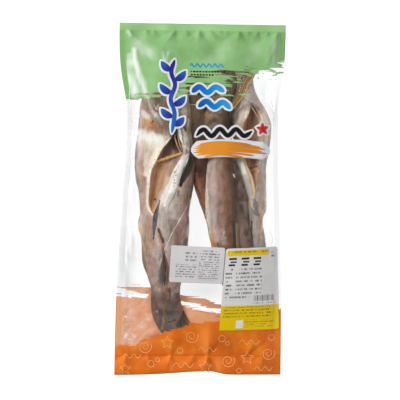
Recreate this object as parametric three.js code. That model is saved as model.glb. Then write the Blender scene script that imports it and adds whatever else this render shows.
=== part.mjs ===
// A clear, sealed pouch of half-dried pollock lying on its back, with two paper labels on its front.
// Millimetres, +Z up. The pouch's length runs along Y with the printed top seal at +Y.
// The origin is on the surface that the pouch lies on, below the middle of its box.
import * as THREE from "three";

// The pouch laid out: size of the flat bag and of the heat-sealed bands round it
const POUCH_LENGTH = 440;
const POUCH_WIDTH = 207.6;
const SIDE_SEAL = 6.5;
const TOP_SEAL = 8;
const BOTTOM_SEAL = 27;
const SEAL_THICKNESS = 1.2;

// The filled belly takes up film, which draws the two side edges in at the waist
const WAIST_Y = 104;
const WAIST_LEFT_PULL = 11.5;
const WAIST_RIGHT_PULL = 8;
const WAIST_REACH_UP = 48;
const WAIST_REACH_DOWN = 150;

// Height of the sealed bands over the surface
const SEAL_HEIGHT = 2.6;
const WAIST_LIFT = 4;
const TOP_RIPPLE = 0.9;
const TOP_RIPPLE_PITCH = 52;

// One soft fold runs through the bottom band and shortens the pouch there
const FOLD_X = 16;
const FOLD_LIFT = 4.5;
const FOLD_SHORTENS = 5;
const FOLD_REACH_LEFT = 55;
const FOLD_REACH_RIGHT = 13;
// The bottom edge runs up slightly, so the right side is this much shorter than the left
const BOTTOM_SLANT = 3.8;

// How far in from the seal the back film comes down to the surface
const BACK_FILM_RUN = 15;

// Air left in the pouch rounds the film between the fish, as a curvature per millimetre
const AIR_CURVATURE = 0.0012;
// The film lies this far outside the fish
const FILM_CLEARANCE = 1.6;
const RELAX_ROUNDS = 900;

// Cells of the film's grid between the seals
const COLUMNS = 31;
const ROWS = 60;
const BOTTOM_SEAL_ROWS = 3;

// The fish under the film, from the cut neck to the tail fin.
// At each place along Y: the middle of the body, half its width, and the height of its upper side.
const FISH = {
  left: [
    { y: 152, x: -42, half: 24, top: 28 },
    { y: 120, x: -42, half: 32, top: 40 },
    { y: 85, x: -44, half: 34, top: 43 },
    { y: 50, x: -43, half: 37, top: 43 },
    { y: 6, x: -43, half: 33, top: 41 },
    { y: -38, x: -43.8, half: 31, top: 37 },
    { y: -64, x: -43.5, half: 28.5, top: 33 },
    { y: -95, x: -42, half: 19.5, top: 27 },
    { y: -121, x: -41, half: 18, top: 22 },
    { y: -143, x: -37, half: 21, top: 13 },
    { y: -166, x: -31, half: 23, top: 6 },
  ],
  right: [
    { y: 142, x: 30, half: 18, top: 36 },
    { y: 100, x: 31, half: 24, top: 46 },
    { y: 52, x: 32, half: 25, top: 50 },
    { y: 0, x: 33, half: 27, top: 50 },
    { y: -30, x: 36, half: 27, top: 47 },
    { y: -56, x: 40, half: 25, top: 43 },
    { y: -90, x: 45, half: 19, top: 34 },
    { y: -120, x: 50, half: 15, top: 25 },
    { y: -145, x: 54, half: 17, top: 14 },
    { y: -166, x: 57, half: 20, top: 6 },
  ],
  farRight: [
    { y: 158, x: 52, half: 13, top: 26 },
    { y: 125, x: 56, half: 19, top: 36 },
    { y: 100, x: 62, half: 24, top: 40 },
    { y: 52, x: 64, half: 21, top: 40 },
    { y: 5, x: 64, half: 20, top: 38 },
    { y: -27, x: 64, half: 18, top: 35 },
    { y: -55, x: 66, half: 17.5, top: 31 },
    { y: -90, x: 68, half: 15, top: 26 },
    { y: -120, x: 70, half: 13, top: 20 },
    { y: -150, x: 74, half: 15, top: 7 },
  ],
  under: [
    { y: 142, x: -2, half: 20, top: 30 },
    { y: 90, x: 0, half: 20, top: 32 },
    { y: 45, x: 3, half: 17, top: 29 },
    { y: 20, x: 8, half: 16, top: 27 },
    { y: -7, x: 15.7, half: 15, top: 24 },
    { y: -31, x: 24, half: 14, top: 21 },
    { y: -80, x: 38, half: 11, top: 15 },
  ],
};

// The labels: size along the film, place of the lower right corner, and turn in degrees
const LABEL_THICKNESS = 0.5;
const LABEL_GAP = 0.6;
const LABEL_STEP = 3.5;
const LABELS = {
  label_large: { width: 74.6, height: 103.5, cornerX: 100.2, cornerY: -159.8, turn: 3.2 },
  label_small: { width: 66.8, height: 46, cornerX: 29.6, cornerY: -104.2, turn: -2.2 },
};

const COLOURS = { pouch: 0xb5a595, label_large: 0xe8e6df, label_small: 0xe4e3e2 };
const FINISH = { pouch: 0.25, label_large: 0.5, label_small: 0.5 };

const bell = (distance, reach) => Math.exp(-((distance / reach) ** 2));

// How strongly the waist acts at a place along the pouch, from 0 to 1
function waist(y) {
  return bell(y - WAIST_Y, y > WAIST_Y ? WAIST_REACH_UP : WAIST_REACH_DOWN);
}

// How strongly the bottom band's fold acts at a place across the pouch, from 0 to 1
function fold(x) {
  return bell(x - FOLD_X, x > FOLD_X ? FOLD_REACH_RIGHT : FOLD_REACH_LEFT);
}

// How far the bottom edge is drawn up at a place across the pouch
function bottomRise(x) {
  return FOLD_SHORTENS * fold(x) + BOTTOM_SLANT * (x / POUCH_WIDTH + 0.5);
}

const leftEdge = (y) => -POUCH_WIDTH / 2 + WAIST_LEFT_PULL * waist(y);
const rightEdge = (y) => POUCH_WIDTH / 2 - WAIST_RIGHT_PULL * waist(y);

// Height of the middle of the sealed bands
function sealHeight(x, y) {
  const bottomShare = THREE.MathUtils.smoothstep(-y, POUCH_LENGTH / 4, POUCH_LENGTH / 2);
  const topShare = THREE.MathUtils.smoothstep(y, POUCH_LENGTH / 4, POUCH_LENGTH / 2);
  const ripple = TOP_RIPPLE * Math.sin((2 * Math.PI * x) / TOP_RIPPLE_PITCH);
  return SEAL_HEIGHT + WAIST_LIFT * waist(y) + FOLD_LIFT * bottomShare * fold(x) + topShare * ripple;
}

// The size of one fish at a place along Y, between its two nearest stations, or null past its ends
function fishAt(stations, y) {
  for (let i = 0; i + 1 < stations.length; i++) {
    const a = stations[i];
    const b = stations[i + 1];
    if (y <= a.y && y >= b.y) {
      const share = (a.y - y) / (a.y - b.y);
      const between = (key) => THREE.MathUtils.lerp(a[key], b[key], share);
      return { x: between("x"), half: between("half"), top: between("top") };
    }
  }
  return null;
}

// Height that the film has to clear at a point: the upper side of the round bodies below it
function fishTop(x, y) {
  let highest = 0;
  for (const stations of Object.values(FISH)) {
    const body = fishAt(stations, y);
    if (!body) continue;
    const across = (x - body.x) / (body.half + FILM_CLEARANCE);
    if (Math.abs(across) >= 1) continue;
    const middle = body.top / 2;
    const upper = (middle + FILM_CLEARANCE) * Math.sqrt(1 - across * across);
    highest = Math.max(highest, middle + upper);
  }
  return highest;
}

// Distances from one side of the pouch to the other, with a band of its own at each end
function spread(length, firstBand, firstCells, lastBand, lastCells, cells) {
  const places = [];
  for (let i = 0; i < firstCells; i++) places.push((firstBand * i) / firstCells);
  const inner = length - firstBand - lastBand;
  for (let i = 0; i < cells; i++) places.push(firstBand + (inner * i) / cells);
  for (let i = 0; i <= lastCells; i++) places.push(length - lastBand + (lastBand * i) / lastCells);
  return places;
}

// The plan of the film's grid: a point (x, y) for each row and column, and whether it is in a sealed band
function filmPlan() {
  const across = spread(POUCH_WIDTH, SIDE_SEAL, 1, SIDE_SEAL, 1, COLUMNS);
  const along = spread(POUCH_LENGTH, BOTTOM_SEAL, BOTTOM_SEAL_ROWS, TOP_SEAL, 1, ROWS);
  return along.map((distance, row) => {
    const y = distance - POUCH_LENGTH / 2;
    return across.map((place, column) => {
      const share = place / POUCH_WIDTH;
      const x = THREE.MathUtils.lerp(leftEdge(y), rightEdge(y), share);
      const shortened = bottomRise(x) * Math.max(0, 1 - distance / (POUCH_LENGTH / 4));
      const inSeal =
        row <= BOTTOM_SEAL_ROWS || row >= along.length - 2 || column <= 1 || column >= across.length - 2;
      return { x, y: y + shortened, inSeal };
    });
  });
}

// Lets the front film settle as a stretched skin: held at the seals, carried by the fish, rounded by air
function settleFilm(plan) {
  const lift = SEAL_THICKNESS / 2;
  const heights = plan.map((line) => line.map((p) => sealHeight(p.x, p.y) + lift));
  const floors = plan.map((line) => line.map((p) => (p.inSeal ? 0 : fishTop(p.x, p.y))));
  const apart = (p, q) => Math.hypot(p.x - q.x, p.y - q.y);
  for (let round = 0; round < RELAX_ROUNDS; round++) {
    for (let r = 1; r + 1 < plan.length; r++) {
      for (let c = 1; c + 1 < plan[r].length; c++) {
        const here = plan[r][c];
        if (here.inSeal) continue;
        const west = apart(here, plan[r][c - 1]);
        const east = apart(here, plan[r][c + 1]);
        const south = apart(here, plan[r - 1][c]);
        const north = apart(here, plan[r + 1][c]);
        const acrossMean = (heights[r][c - 1] * east + heights[r][c + 1] * west) / (west + east);
        const alongMean = (heights[r - 1][c] * north + heights[r + 1][c] * south) / (south + north);
        const acrossPull = 1 / (west * east);
        const alongPull = 1 / (south * north);
        const pull = acrossPull + alongPull;
        const settled = (acrossMean * acrossPull + alongMean * alongPull + AIR_CURVATURE) / pull;
        heights[r][c] = Math.max(settled, floors[r][c]);
      }
    }
  }
  return heights;
}

// Height of the back film: flat on the surface, and up to the seal near the edges
function backHeight(p) {
  const fromSide = Math.min(p.x - leftEdge(p.y), rightEdge(p.y) - p.x) - SIDE_SEAL;
  const fromTop = POUCH_LENGTH / 2 - TOP_SEAL - p.y;
  const fromBottom = p.y + POUCH_LENGTH / 2 - BOTTOM_SEAL - bottomRise(p.x);
  const inside = Math.max(0, Math.min(fromSide, fromTop, fromBottom));
  const share = Math.max(0, 1 - inside / BACK_FILM_RUN);
  return (sealHeight(p.x, p.y) - SEAL_THICKNESS / 2) * share * share;
}

// A closed body between an upper and a lower grid of points with the same rows and columns
function slab(upper, lower) {
  const rows = upper.length;
  const columns = upper[0].length;
  const points = [...upper.flat(), ...lower.flat()];
  const top = (r, c) => r * columns + c;
  const under = (r, c) => rows * columns + r * columns + c;
  const faces = [];
  const quad = (a, b, c, d) => faces.push(a, b, c, a, c, d);
  for (let r = 0; r + 1 < rows; r++) {
    for (let c = 0; c + 1 < columns; c++) {
      quad(top(r, c), top(r, c + 1), top(r + 1, c + 1), top(r + 1, c));
      quad(under(r, c), under(r + 1, c), under(r + 1, c + 1), under(r, c + 1));
    }
  }
  for (let c = 0; c + 1 < columns; c++) {
    quad(under(0, c), under(0, c + 1), top(0, c + 1), top(0, c));
    quad(top(rows - 1, c), top(rows - 1, c + 1), under(rows - 1, c + 1), under(rows - 1, c));
  }
  for (let r = 0; r + 1 < rows; r++) {
    quad(top(r, 0), top(r + 1, 0), under(r + 1, 0), under(r, 0));
    quad(under(r, columns - 1), under(r + 1, columns - 1), top(r + 1, columns - 1), top(r, columns - 1));
  }
  const geometry = new THREE.BufferGeometry();
  geometry.setAttribute("position", new THREE.Float32BufferAttribute(points.flat(), 3));
  geometry.setIndex(faces);
  geometry.computeVertexNormals();
  return geometry;
}

// The filled pouch as one solid: front film above, back film below
function pouchGeometry(plan, heights) {
  const front = plan.map((line, r) => line.map((p, c) => [p.x, p.y, heights[r][c]]));
  const back = plan.map((line) => line.map((p) => [p.x, p.y, backHeight(p)]));
  return slab(front, back);
}

// Height of the front film at any point, found by casting a ray down on it
function filmProbe(geometry) {
  const film = new THREE.Mesh(geometry, new THREE.MeshBasicMaterial());
  const above = POUCH_LENGTH;
  const down = new THREE.Vector3(0, 0, -1);
  return (x, y) => {
    const ray = new THREE.Raycaster(new THREE.Vector3(x, y, above), down);
    return ray.intersectObject(film)[0].point.z;
  };
}

// A paper label that lies on the film. Its rows run from the right edge to the left,
// as long as the paper measured along the film, so a steep stretch looks shorter from above.
function labelGeometry(size, filmHeight) {
  const turn = THREE.MathUtils.degToRad(size.turn);
  const alongRow = { x: -Math.cos(turn), y: -Math.sin(turn) };
  const upColumn = { x: -Math.sin(turn), y: Math.cos(turn) };
  const columns = Math.round(size.width / LABEL_STEP);
  const rows = Math.round(size.height / LABEL_STEP);
  const step = size.width / columns;
  const face = [];
  for (let r = 0; r <= rows; r++) {
    const up = (size.height * r) / rows;
    let x = size.cornerX + upColumn.x * up;
    let y = size.cornerY + upColumn.y * up;
    const line = [[x, y, filmHeight(x, y)]];
    for (let c = 0; c < columns; c++) {
      const rise = filmHeight(x + alongRow.x * step, y + alongRow.y * step) - filmHeight(x, y);
      const run = (step * step) / Math.hypot(step, rise);
      x += alongRow.x * run;
      y += alongRow.y * run;
      line.unshift([x, y, filmHeight(x, y)]);
    }
    face.push(line);
  }
  const raised = (by) => face.map((line) => line.map(([x, y, z]) => [x, y, z + by]));
  return slab(raised(LABEL_GAP + LABEL_THICKNESS), raised(LABEL_GAP));
}

function piece(name, geometry) {
  const material = new THREE.MeshStandardMaterial({
    color: COLOURS[name],
    roughness: FINISH[name],
    metalness: 0,
  });
  const mesh = new THREE.Mesh(geometry, material);
  mesh.name = name;
  return mesh;
}

const plan = filmPlan();
const pouch = pouchGeometry(plan, settleFilm(plan));
const filmHeight = filmProbe(pouch);

const pack = new THREE.Group();
pack.add(piece("pouch", pouch));
for (const [name, size] of Object.entries(LABELS)) {
  pack.add(piece(name, labelGeometry(size, filmHeight)));
}

export default pack;
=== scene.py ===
import math

import bpy
import numpy as np
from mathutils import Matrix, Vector, noise
from mathutils.bvhtree import BVHTree


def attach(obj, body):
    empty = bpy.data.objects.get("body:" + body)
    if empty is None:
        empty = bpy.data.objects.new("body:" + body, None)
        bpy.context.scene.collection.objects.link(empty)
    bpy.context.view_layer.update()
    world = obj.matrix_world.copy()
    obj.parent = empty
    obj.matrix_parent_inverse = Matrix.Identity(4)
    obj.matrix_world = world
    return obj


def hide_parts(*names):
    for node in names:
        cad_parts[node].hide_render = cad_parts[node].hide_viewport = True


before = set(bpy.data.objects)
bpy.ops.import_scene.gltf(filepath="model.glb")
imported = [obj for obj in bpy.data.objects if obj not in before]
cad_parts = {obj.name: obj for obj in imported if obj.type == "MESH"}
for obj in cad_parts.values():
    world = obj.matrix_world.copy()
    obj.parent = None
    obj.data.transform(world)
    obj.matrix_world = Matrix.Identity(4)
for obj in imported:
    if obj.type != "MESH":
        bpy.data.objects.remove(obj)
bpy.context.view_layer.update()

# Lengths below are in millimetres unless a name says otherwise. Blender's own unit is the metre.
MM = 0.001

# The pouch's outline, as in the CAD
POUCH_LENGTH = 440
POUCH_WIDTH = 207.6
SIDE_SEAL = 6.5
TOP_SEAL = 8
WAIST_Y = 104
WAIST_LEFT_PULL = 11.5
WAIST_RIGHT_PULL = 8
WAIST_REACH_UP = 48
WAIST_REACH_DOWN = 150

# How the camera sees it: a frame of this width, from this far up, turned by the pouch's slant
FRAME_WIDTH = 500
CAMERA_HEIGHT = 3000
CAMERA_TURN_DEG = 0.89
# The floor lies this far under the back film, so the two don't share a plane
FLOOR_GAP = 0.3
# A lit table: how much light the floor gives itself
FLOOR_GLOW = 0.94
# The fish stay this far below the film
FILM_ROOM = 1.2
STRIP_ROOM = 0.7
FIN_ROOM = 0.8
# Higher than anything in the pouch, where flat pieces are dropped from
DROP_HEIGHT = 150
# How thick the thin pieces are
STRIP_THICKNESS = 1.4
FIN_THICKNESS = 0.9
TAIL_THICKNESS = 1.2
LABEL_THICKNESS = 0.3
PRINT_THICKNESS = 0.12

# Fish from neck to tail: place along Y, middle, half width, height of the upper and of the lower side
LEFT_BODY = [
    (153, -42, 23, 27, 1), (120, -42, 33.2, 40, 1), (85, -44, 34.4, 43, 1), (50, -44, 38, 43, 1),
    (28, -44, 36.4, 42, 1), (6, -43, 33, 41, 1), (-13, -43.5, 30.9, 40, 1),
    (-36, -44.3, 31.9, 37, 1), (-47, -43.3, 30, 35.5, 1), (-62, -43.2, 28.4, 33, 1), (-80, -43, 27, 30, 1),
    (-97, -42, 21.8, 27, 1), (-108, -41.1, 18.8, 24, 1), (-120, -41, 18, 17, 1), (-130, -40.6, 15, 8, 1),
    (-140, -39, 10, 4, 1),
]
RIGHT_BODY = [
    (164, 24, 17, 24, 8), (148, 24, 21, 36, 14), (128, 22.4, 19.6, 42, 14), (110, 20, 16.8, 45, 14),
    (100, 20, 17, 46, 14), (75, 22, 16.5, 48, 14), (55, 25.2, 15.8, 49, 13), (38, 27.6, 19.8, 50, 12),
    (13, 31.8, 25.4, 50, 11), (-20, 34.6, 27.3, 48, 10), (-50, 39.3, 26, 44, 8), (-90, 44, 20, 34, 3),
    (-120, 49, 14, 24, 1), (-142, 54, 11, 13, 1), (-152, 55, 7, 8, 1),
]
FAR_BODY = [
    (168, 52, 9, 18, 1), (152, 49.5, 13.5, 28, 1), (128, 51.5, 19, 36, 1), (116, 55.5, 22.5, 38, 1),
    (101, 60, 25.5, 39, 1), (72, 63.5, 22.6, 36, 1), (50, 62, 20.4, 33, 1), (20, 62.4, 19.4, 33, 1),
    (4, 63, 19.4, 32, 1), (-8, 64, 19, 32, 1), (-22, 63, 15.6, 32, 1), (-40, 64.6, 16.2, 31, 1),
    (-56, 66.4, 16.4, 30, 1), (-90, 68, 15, 26, 1),
    (-120, 70, 12, 19, 1), (-140, 73, 10, 11, 1),
]
UNDER_BODY = [
    (160, -4, 18, 20, 1), (142, -4, 20, 30, 1), (90, -2, 20, 32, 1), (45, 2, 17, 29, 1), (20, 8, 16, 27, 1),
    (-7, 15.7, 15, 24, 1), (-31, 24, 14, 21, 1), (-80, 38, 11, 15, 1), (-100, 43, 6, 9, 1),
]

# The way each belly faces along the fish, in degrees: 90 is up, 180 left
LEFT_BELLY = [(150, 84), (0, 86), (-20, 104), (-50, 102), (-75, 90), (-150, 88)]
RIGHT_BELLY = [(162, 228), (60, 236), (38, 248), (13, 258), (-20, 259), (-50, 268), (-150, 270)]
FAR_BELLY = [(168, 88), (-140, 88)]
UNDER_BELLY = [(160, 200), (-100, 200)]

# The cuts of the two opened bellies: place along Y and X of each side's skin edge, depth and lip widths
LEFT_SLIT = {
    "left": [(104, -24), (96, -28), (88, -31), (78.4, -36.5), (70.4, -44), (58, -53), (48.4, -57.3),
             (39.5, -61.5), (30.8, -64), (20, -64.7), (7, -65.4), (-2, -65.6), (-10, -64.5), (-20, -59)],
    "right": [(104, -15), (88, -16), (74, -18.5), (63, -20), (51.5, -23), (37.4, -31), (19.7, -38),
              (7.4, -45), (-3.3, -48.5), (-12, -53), (-20, -57)],
    "depth": 12, "left_lip": 2.6, "right_lip": 1.5,
}
FAR_SLIT = {
    "left": [(124, 60), (112, 55), (95, 51), (60, 50.5), (45, 55.5), (30, 61), (15, 65), (2, 66.5)],
    "right": [(124, 63), (112, 72), (95, 77), (74, 76), (56, 73), (40, 71.7), (26, 70.4), (14, 69),
              (2, 67.5)],
    "depth": 10, "left_lip": 1.4, "right_lip": 1.6,
}
# A belly that isn't cut
SHUT = {"depth": 0, "left_lip": 0, "right_lip": 0}
# Half the angle between the skin's edges where a belly is shut, in radians
CLEFT = 0.012
# The part of each ring of points that is skin. The rest lines the opened belly
SKIN_SHARE = 0.66
# Soft lumps all over the bodies: grain and height
BODY_LUMPS = [(16, 1.6), (5, 0.7)]
TAIL_RAYS = 8
TAIL_FOLDS = 7


def srgb(red, green, blue):
    """A colour from its 0 to 255 screen values."""
    def linear(level):
        level /= 255
        return level / 12.92 if level <= 0.04045 else ((level + 0.055) / 1.055) ** 2.4
    return (linear(red), linear(green), linear(blue), 1)


def smooth_line(stops):
    """A smooth curve through (place, value) stops, as a function of place."""
    stops = sorted(stops)
    places = np.array([stop[0] for stop in stops], float)
    values = np.array([stop[1] for stop in stops], float)
    slopes = np.gradient(values, places)

    def value_at(place):
        place = np.clip(place, places[0], places[-1])
        i = np.clip(np.searchsorted(places, place) - 1, 0, len(places) - 2)
        run = places[i + 1] - places[i]
        t = (place - places[i]) / run
        start = (2 * t**3 - 3 * t**2 + 1) * values[i] + (t**3 - 2 * t**2 + t) * run * slopes[i]
        end = (3 * t**2 - 2 * t**3) * values[i + 1] + (t**3 - t**2) * run * slopes[i + 1]
        return start + end

    return value_at


def ease(low, high, value):
    """0 below low, 1 above high, smooth between. With low above high it falls instead."""
    t = np.clip((value - low) / (high - low), 0, 1)
    return t * t * (3 - 2 * t)


def cloudy(x, y, across, along, seed):
    """Smooth noise from -1 to 1 at each point, with lumps of the given sizes."""
    return np.array([noise.noise((a / across, b / along, seed)) for a, b in zip(x, y)])


def waist(y):
    reach = np.where(y > WAIST_Y, WAIST_REACH_UP, WAIST_REACH_DOWN)
    return np.exp(-(((y - WAIST_Y) / reach) ** 2))


def left_edge(y):
    return -POUCH_WIDTH / 2 + WAIST_LEFT_PULL * waist(y)


def right_edge(y):
    return POUCH_WIDTH / 2 - WAIST_RIGHT_PULL * waist(y)


def on_seal(inside):
    """1 on a seal and 0 away from it, from how far places lie inside the seal's edge."""
    return ease(0.6, -0.2, inside)


def from_side(x, y):
    """How far each place lies inside the nearer side edge of the pouch."""
    return np.minimum(x - left_edge(y), right_edge(y) - x)


# Meshes

def pick_only(piece):
    bpy.ops.object.select_all(action="DESELECT")
    piece.select_set(True)
    bpy.context.view_layer.objects.active = piece


def points_of(piece):
    """The mesh's points as rows of x, y, z in millimetres."""
    flat = np.empty(len(piece.data.vertices) * 3)
    piece.data.vertices.foreach_get("co", flat)
    return flat.reshape(-1, 3) / MM


def put_points(piece, points):
    piece.data.vertices.foreach_set("co", (np.asarray(points) * MM).ravel())
    piece.data.update()


def put_attribute(piece, name, values):
    attribute = piece.data.attributes.new(name, "FLOAT", "POINT")
    attribute.data.foreach_set("value", np.asarray(values, float).ravel())


def put_attributes(piece, named_values):
    for name, values in named_values.items():
        put_attribute(piece, name, values)


def read_attribute(piece, name):
    values = np.empty(len(piece.data.vertices))
    piece.data.attributes[name].data.foreach_get("value", values)
    return values


def apply_modifier(piece, kind, **settings):
    pick_only(piece)
    modifier = piece.modifiers.new(kind.lower(), kind)
    for key, value in settings.items():
        setattr(modifier, key, value)
    bpy.ops.object.modifier_apply(modifier=modifier.name)


def subdivide_smooth(piece, levels):
    apply_modifier(piece, "SUBSURF", levels=levels, render_levels=levels)


def relief(piece, grain, height):
    """Soft lumps over the whole surface, as large as grain and as high as height."""
    lumps = bpy.data.textures.new(f"{piece.name}_lumps", "CLOUDS")
    lumps.noise_scale = grain * MM
    lumps.noise_depth = 3
    apply_modifier(piece, "DISPLACE", texture=lumps, strength=height * MM, texture_coords="LOCAL")


def grid_piece(name, columns, rows):
    """A flat grid with its UV map, and the share across and along of each of its points."""
    bpy.ops.object.select_all(action="DESELECT")
    bpy.ops.mesh.primitive_grid_add(x_subdivisions=columns, y_subdivisions=rows, size=1)
    piece = bpy.context.object
    piece.name = name
    flat = points_of(piece) * MM
    return piece, flat[:, 0] + 0.5, flat[:, 1] + 0.5


def close_seams(piece):
    """Merges points that meet, fills open ends and turns all faces outwards."""
    pick_only(piece)
    bpy.ops.object.mode_set(mode="EDIT")
    bpy.ops.mesh.select_all(action="SELECT")
    bpy.ops.mesh.remove_doubles(threshold=0.02 * MM)
    bpy.ops.mesh.select_all(action="DESELECT")
    bpy.ops.mesh.select_mode(type="EDGE")
    bpy.ops.mesh.select_non_manifold(extend=False)
    bpy.ops.mesh.fill()
    bpy.ops.mesh.select_all(action="SELECT")
    bpy.ops.mesh.normals_make_consistent(inside=False)
    bpy.ops.mesh.select_mode(type="VERT")
    bpy.ops.object.mode_set(mode="OBJECT")


def face_up(piece):
    """Turns a flat piece over if its faces look down."""
    if sum(face.normal.z * face.area for face in piece.data.polygons) < 0:
        pick_only(piece)
        bpy.ops.object.mode_set(mode="EDIT")
        bpy.ops.mesh.select_all(action="SELECT")
        bpy.ops.mesh.flip_normals()
        bpy.ops.object.mode_set(mode="OBJECT")


def lay_on(piece, target, lift, from_below=False):
    """Drops a flat piece straight on another piece, from above or below, and keeps it lift above it."""
    start = -DROP_HEIGHT if from_below else DROP_HEIGHT
    points = points_of(piece)
    points[:, 2] = start
    put_points(piece, points)
    apply_modifier(
        piece, "SHRINKWRAP", target=target, wrap_method="PROJECT", use_project_z=True,
        use_negative_direction=not from_below, use_positive_direction=from_below, offset=0,
    )
    points = points_of(piece)
    landed = np.abs(points[:, 2] - start) > 1
    points[:, 2] = np.where(landed, points[:, 2], points[landed, 2].min()) + lift
    put_points(piece, points)


def height_over(piece, x, y):
    """The height of a piece's upper side at each place, and far up where it isn't."""
    tree = BVHTree.FromObject(piece, bpy.context.evaluated_depsgraph_get())
    start = DROP_HEIGHT * MM
    heights = []
    for a, b in zip(x, y):
        place = tree.ray_cast((a * MM, b * MM, start), (0, 0, -1))[0]
        heights.append(place.z / MM if place else DROP_HEIGHT)
    return np.array(heights)


def keep_under(piece, film, room=FILM_ROOM):
    """Presses what would touch the film down below it, softly."""
    points = points_of(piece)
    limit = height_over(film, points[:, 0], points[:, 1]) - room
    softness = 0.8
    below = np.clip((limit - points[:, 2]) / softness, -60, 60)
    points[:, 2] = np.maximum(limit - softness * np.log1p(np.exp(below)), 0.8)
    put_points(piece, points)


def thicken(piece, thickness):
    apply_modifier(piece, "SOLIDIFY", thickness=thickness * MM, offset=-1)


def join_all(name, pieces):
    """One piece of several."""
    bpy.ops.object.select_all(action="DESELECT")
    for piece in pieces:
        piece.select_set(True)
    bpy.context.view_layer.objects.active = pieces[0]
    bpy.ops.object.join()
    pieces[0].name = name
    return pieces[0]


def finish_piece(piece, material):
    pick_only(piece)
    bpy.ops.object.shade_smooth()
    piece.data.materials.clear()
    piece.data.materials.append(material)
    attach(piece, "root")
    return piece


# Material nodes

class Recipe:
    """A new material's nodes: each call adds one node, wires its inputs and gives its output."""

    def __init__(self, name):
        self.material = bpy.data.materials.new(name)
        self.material.use_nodes = True
        self.tree = self.material.node_tree
        self.tree.nodes.clear()

    def node(self, kind, inputs=None, **settings):
        made = self.tree.nodes.new(f"ShaderNode{kind}")
        for key, value in settings.items():
            setattr(made, key, value)
        for key, value in (inputs or {}).items():
            if isinstance(value, bpy.types.NodeSocket):
                self.tree.links.new(value, made.inputs[key])
            else:
                made.inputs[key].default_value = value
        return made

    def math(self, operation, *values, clamp=False):
        inputs = dict(enumerate(values))
        return self.node("Math", inputs, operation=operation, use_clamp=clamp).outputs[0]

    def times(self, first, second):
        return self.math("MULTIPLY", first, second)

    def minus(self, first, second):
        return self.math("SUBTRACT", first, second)

    def scaled(self, value, factor, shift):
        """A value times a factor, plus a shift."""
        return self.math("MULTIPLY_ADD", value, factor, shift)

    def grey(self, colour):
        return self.node("RGBToBW", {0: colour}).outputs[0]

    def mix(self, share, first, second, how="MIX"):
        made = self.node("Mix", {0: share, 6: first, 7: second}, data_type="RGBA", blend_type=how)
        return made.outputs[2]

    def step(self, value, low, high):
        """0 below low, 1 above high, smooth between."""
        inputs = {"Value": value, "From Min": low, "From Max": high}
        return self.node("MapRange", inputs, interpolation_type="SMOOTHSTEP").outputs[0]

    def share(self, value, low, high):
        """Where a value lies between two limits, from 0 to 1."""
        inputs = {"Value": value, "From Min": low, "From Max": high}
        return self.node("MapRange", inputs).outputs[0]

    def ramp(self, value, stops):
        made = self.node("ValToRGB", {0: value})
        elements = made.color_ramp.elements
        while len(elements) < len(stops):
            elements.new(0.5)
        for element, (place, colour) in zip(elements, stops):
            element.position = place
            element.color = colour
        return made.outputs[0]

    def curve(self, value, stops):
        """A line through (place, value) stops, each from 0 to 1."""
        made = self.node("FloatCurve", {1: value})
        points = made.mapping.curves[0].points
        while len(points) < len(stops):
            points.new(0.5, 0.5)
        for point, stop in zip(points, stops):
            point.location = stop
            point.handle_type = "VECTOR"
        made.mapping.update()
        return made.outputs[0]

    def place(self, stretch=(1, 1, 1), turn=0.0, shift=(0, 0, 0)):
        """Object coordinates, stretched and turned about Z."""
        source = self.node("TexCoord").outputs["Object"]
        inputs = {"Vector": source, "Scale": stretch, "Rotation": (0, 0, turn), "Location": shift}
        return self.node("Mapping", inputs).outputs[0]

    def slanted(self, turn, stretch):
        """Object coordinates turned about Z and then stretched."""
        return self.node("Mapping", {"Vector": self.place(turn=turn), "Scale": stretch}).outputs[0]

    def uv(self):
        return self.node("UVMap").outputs[0]

    def axis(self, vector, letter):
        return self.node("SeparateXYZ", {0: vector}).outputs[letter]

    def noise(self, vector, grain, detail=4.0, rough=0.55, warp=0.0):
        """Cloudy noise from 0 to 1 with lumps about as large as grain, in millimetres."""
        inputs = {"Vector": vector, "Scale": 1 / (grain * MM), "Detail": detail}
        inputs |= {"Roughness": rough, "Distortion": warp}
        return self.node("TexNoise", inputs).outputs[0]

    def attribute(self, name):
        return self.node("Attribute", attribute_name=name).outputs["Fac"]

    def painted(self, name):
        return self.node("Attribute", attribute_name=name).outputs["Color"]

    def bump(self, height, strength, distance):
        inputs = {"Height": height, "Strength": strength, "Distance": distance * MM}
        return self.node("Bump", inputs).outputs[0]

    def surface(self, inputs):
        return self.node("BsdfPrincipled", inputs).outputs[0]

    def done(self, shader):
        self.node("OutputMaterial", {"Surface": shader})
        return self.material

    def see_through(self, cover, shader, clear_tint=(1, 1, 1, 1)):
        """Finishes a material that shows its shader by the share in cover and is clear for the rest."""
        clear = self.node("BsdfTransparent", {"Color": clear_tint}).outputs[0]
        return self.done(self.node("MixShader", {0: cover, 1: clear, 2: shader}).outputs[0])


# Film and its print

PRINT_BLUR = 0.3 * MM
FILM_GLOSS = 0.035
# How much the print hides of what lies behind it
INK_COVER = 0.985
GREEN_INK = [(0.3, srgb(109, 151, 92)), (0.7, srgb(133, 176, 117))]
ORANGE_INK = [(0.32, srgb(192, 86, 10)), (0.5, srgb(202, 98, 14)), (0.68, srgb(222, 124, 22))]
# The print on the seals: attribute, strength, its orange and its green
SEAL_INKS = [
    ("side_seal", 0.8, srgb(206, 104, 16), srgb(110, 152, 90)),
    ("end_seal", 0.7, srgb(203, 97, 5), srgb(142, 184, 124)),
]
# About how large the facets of the crumpled film are
FACET = 11
GREEN_EDGE = [(-104, 124), (-45, 127), (-25, 132), (-15, 141), (29, 149), (52, 158), (68, 162), (104, 167)]
GREEN_STREAKS = [(-104, 0.05), (-50, 0.08), (-26, 0.45), (0, 1.0), (50, 0.85), (70, 0.3), (104, 0.32)]
GREEN_STREAK_REACH = 240
# How far above its edge line the green print can open
GREEN_OPENS = 14
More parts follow.
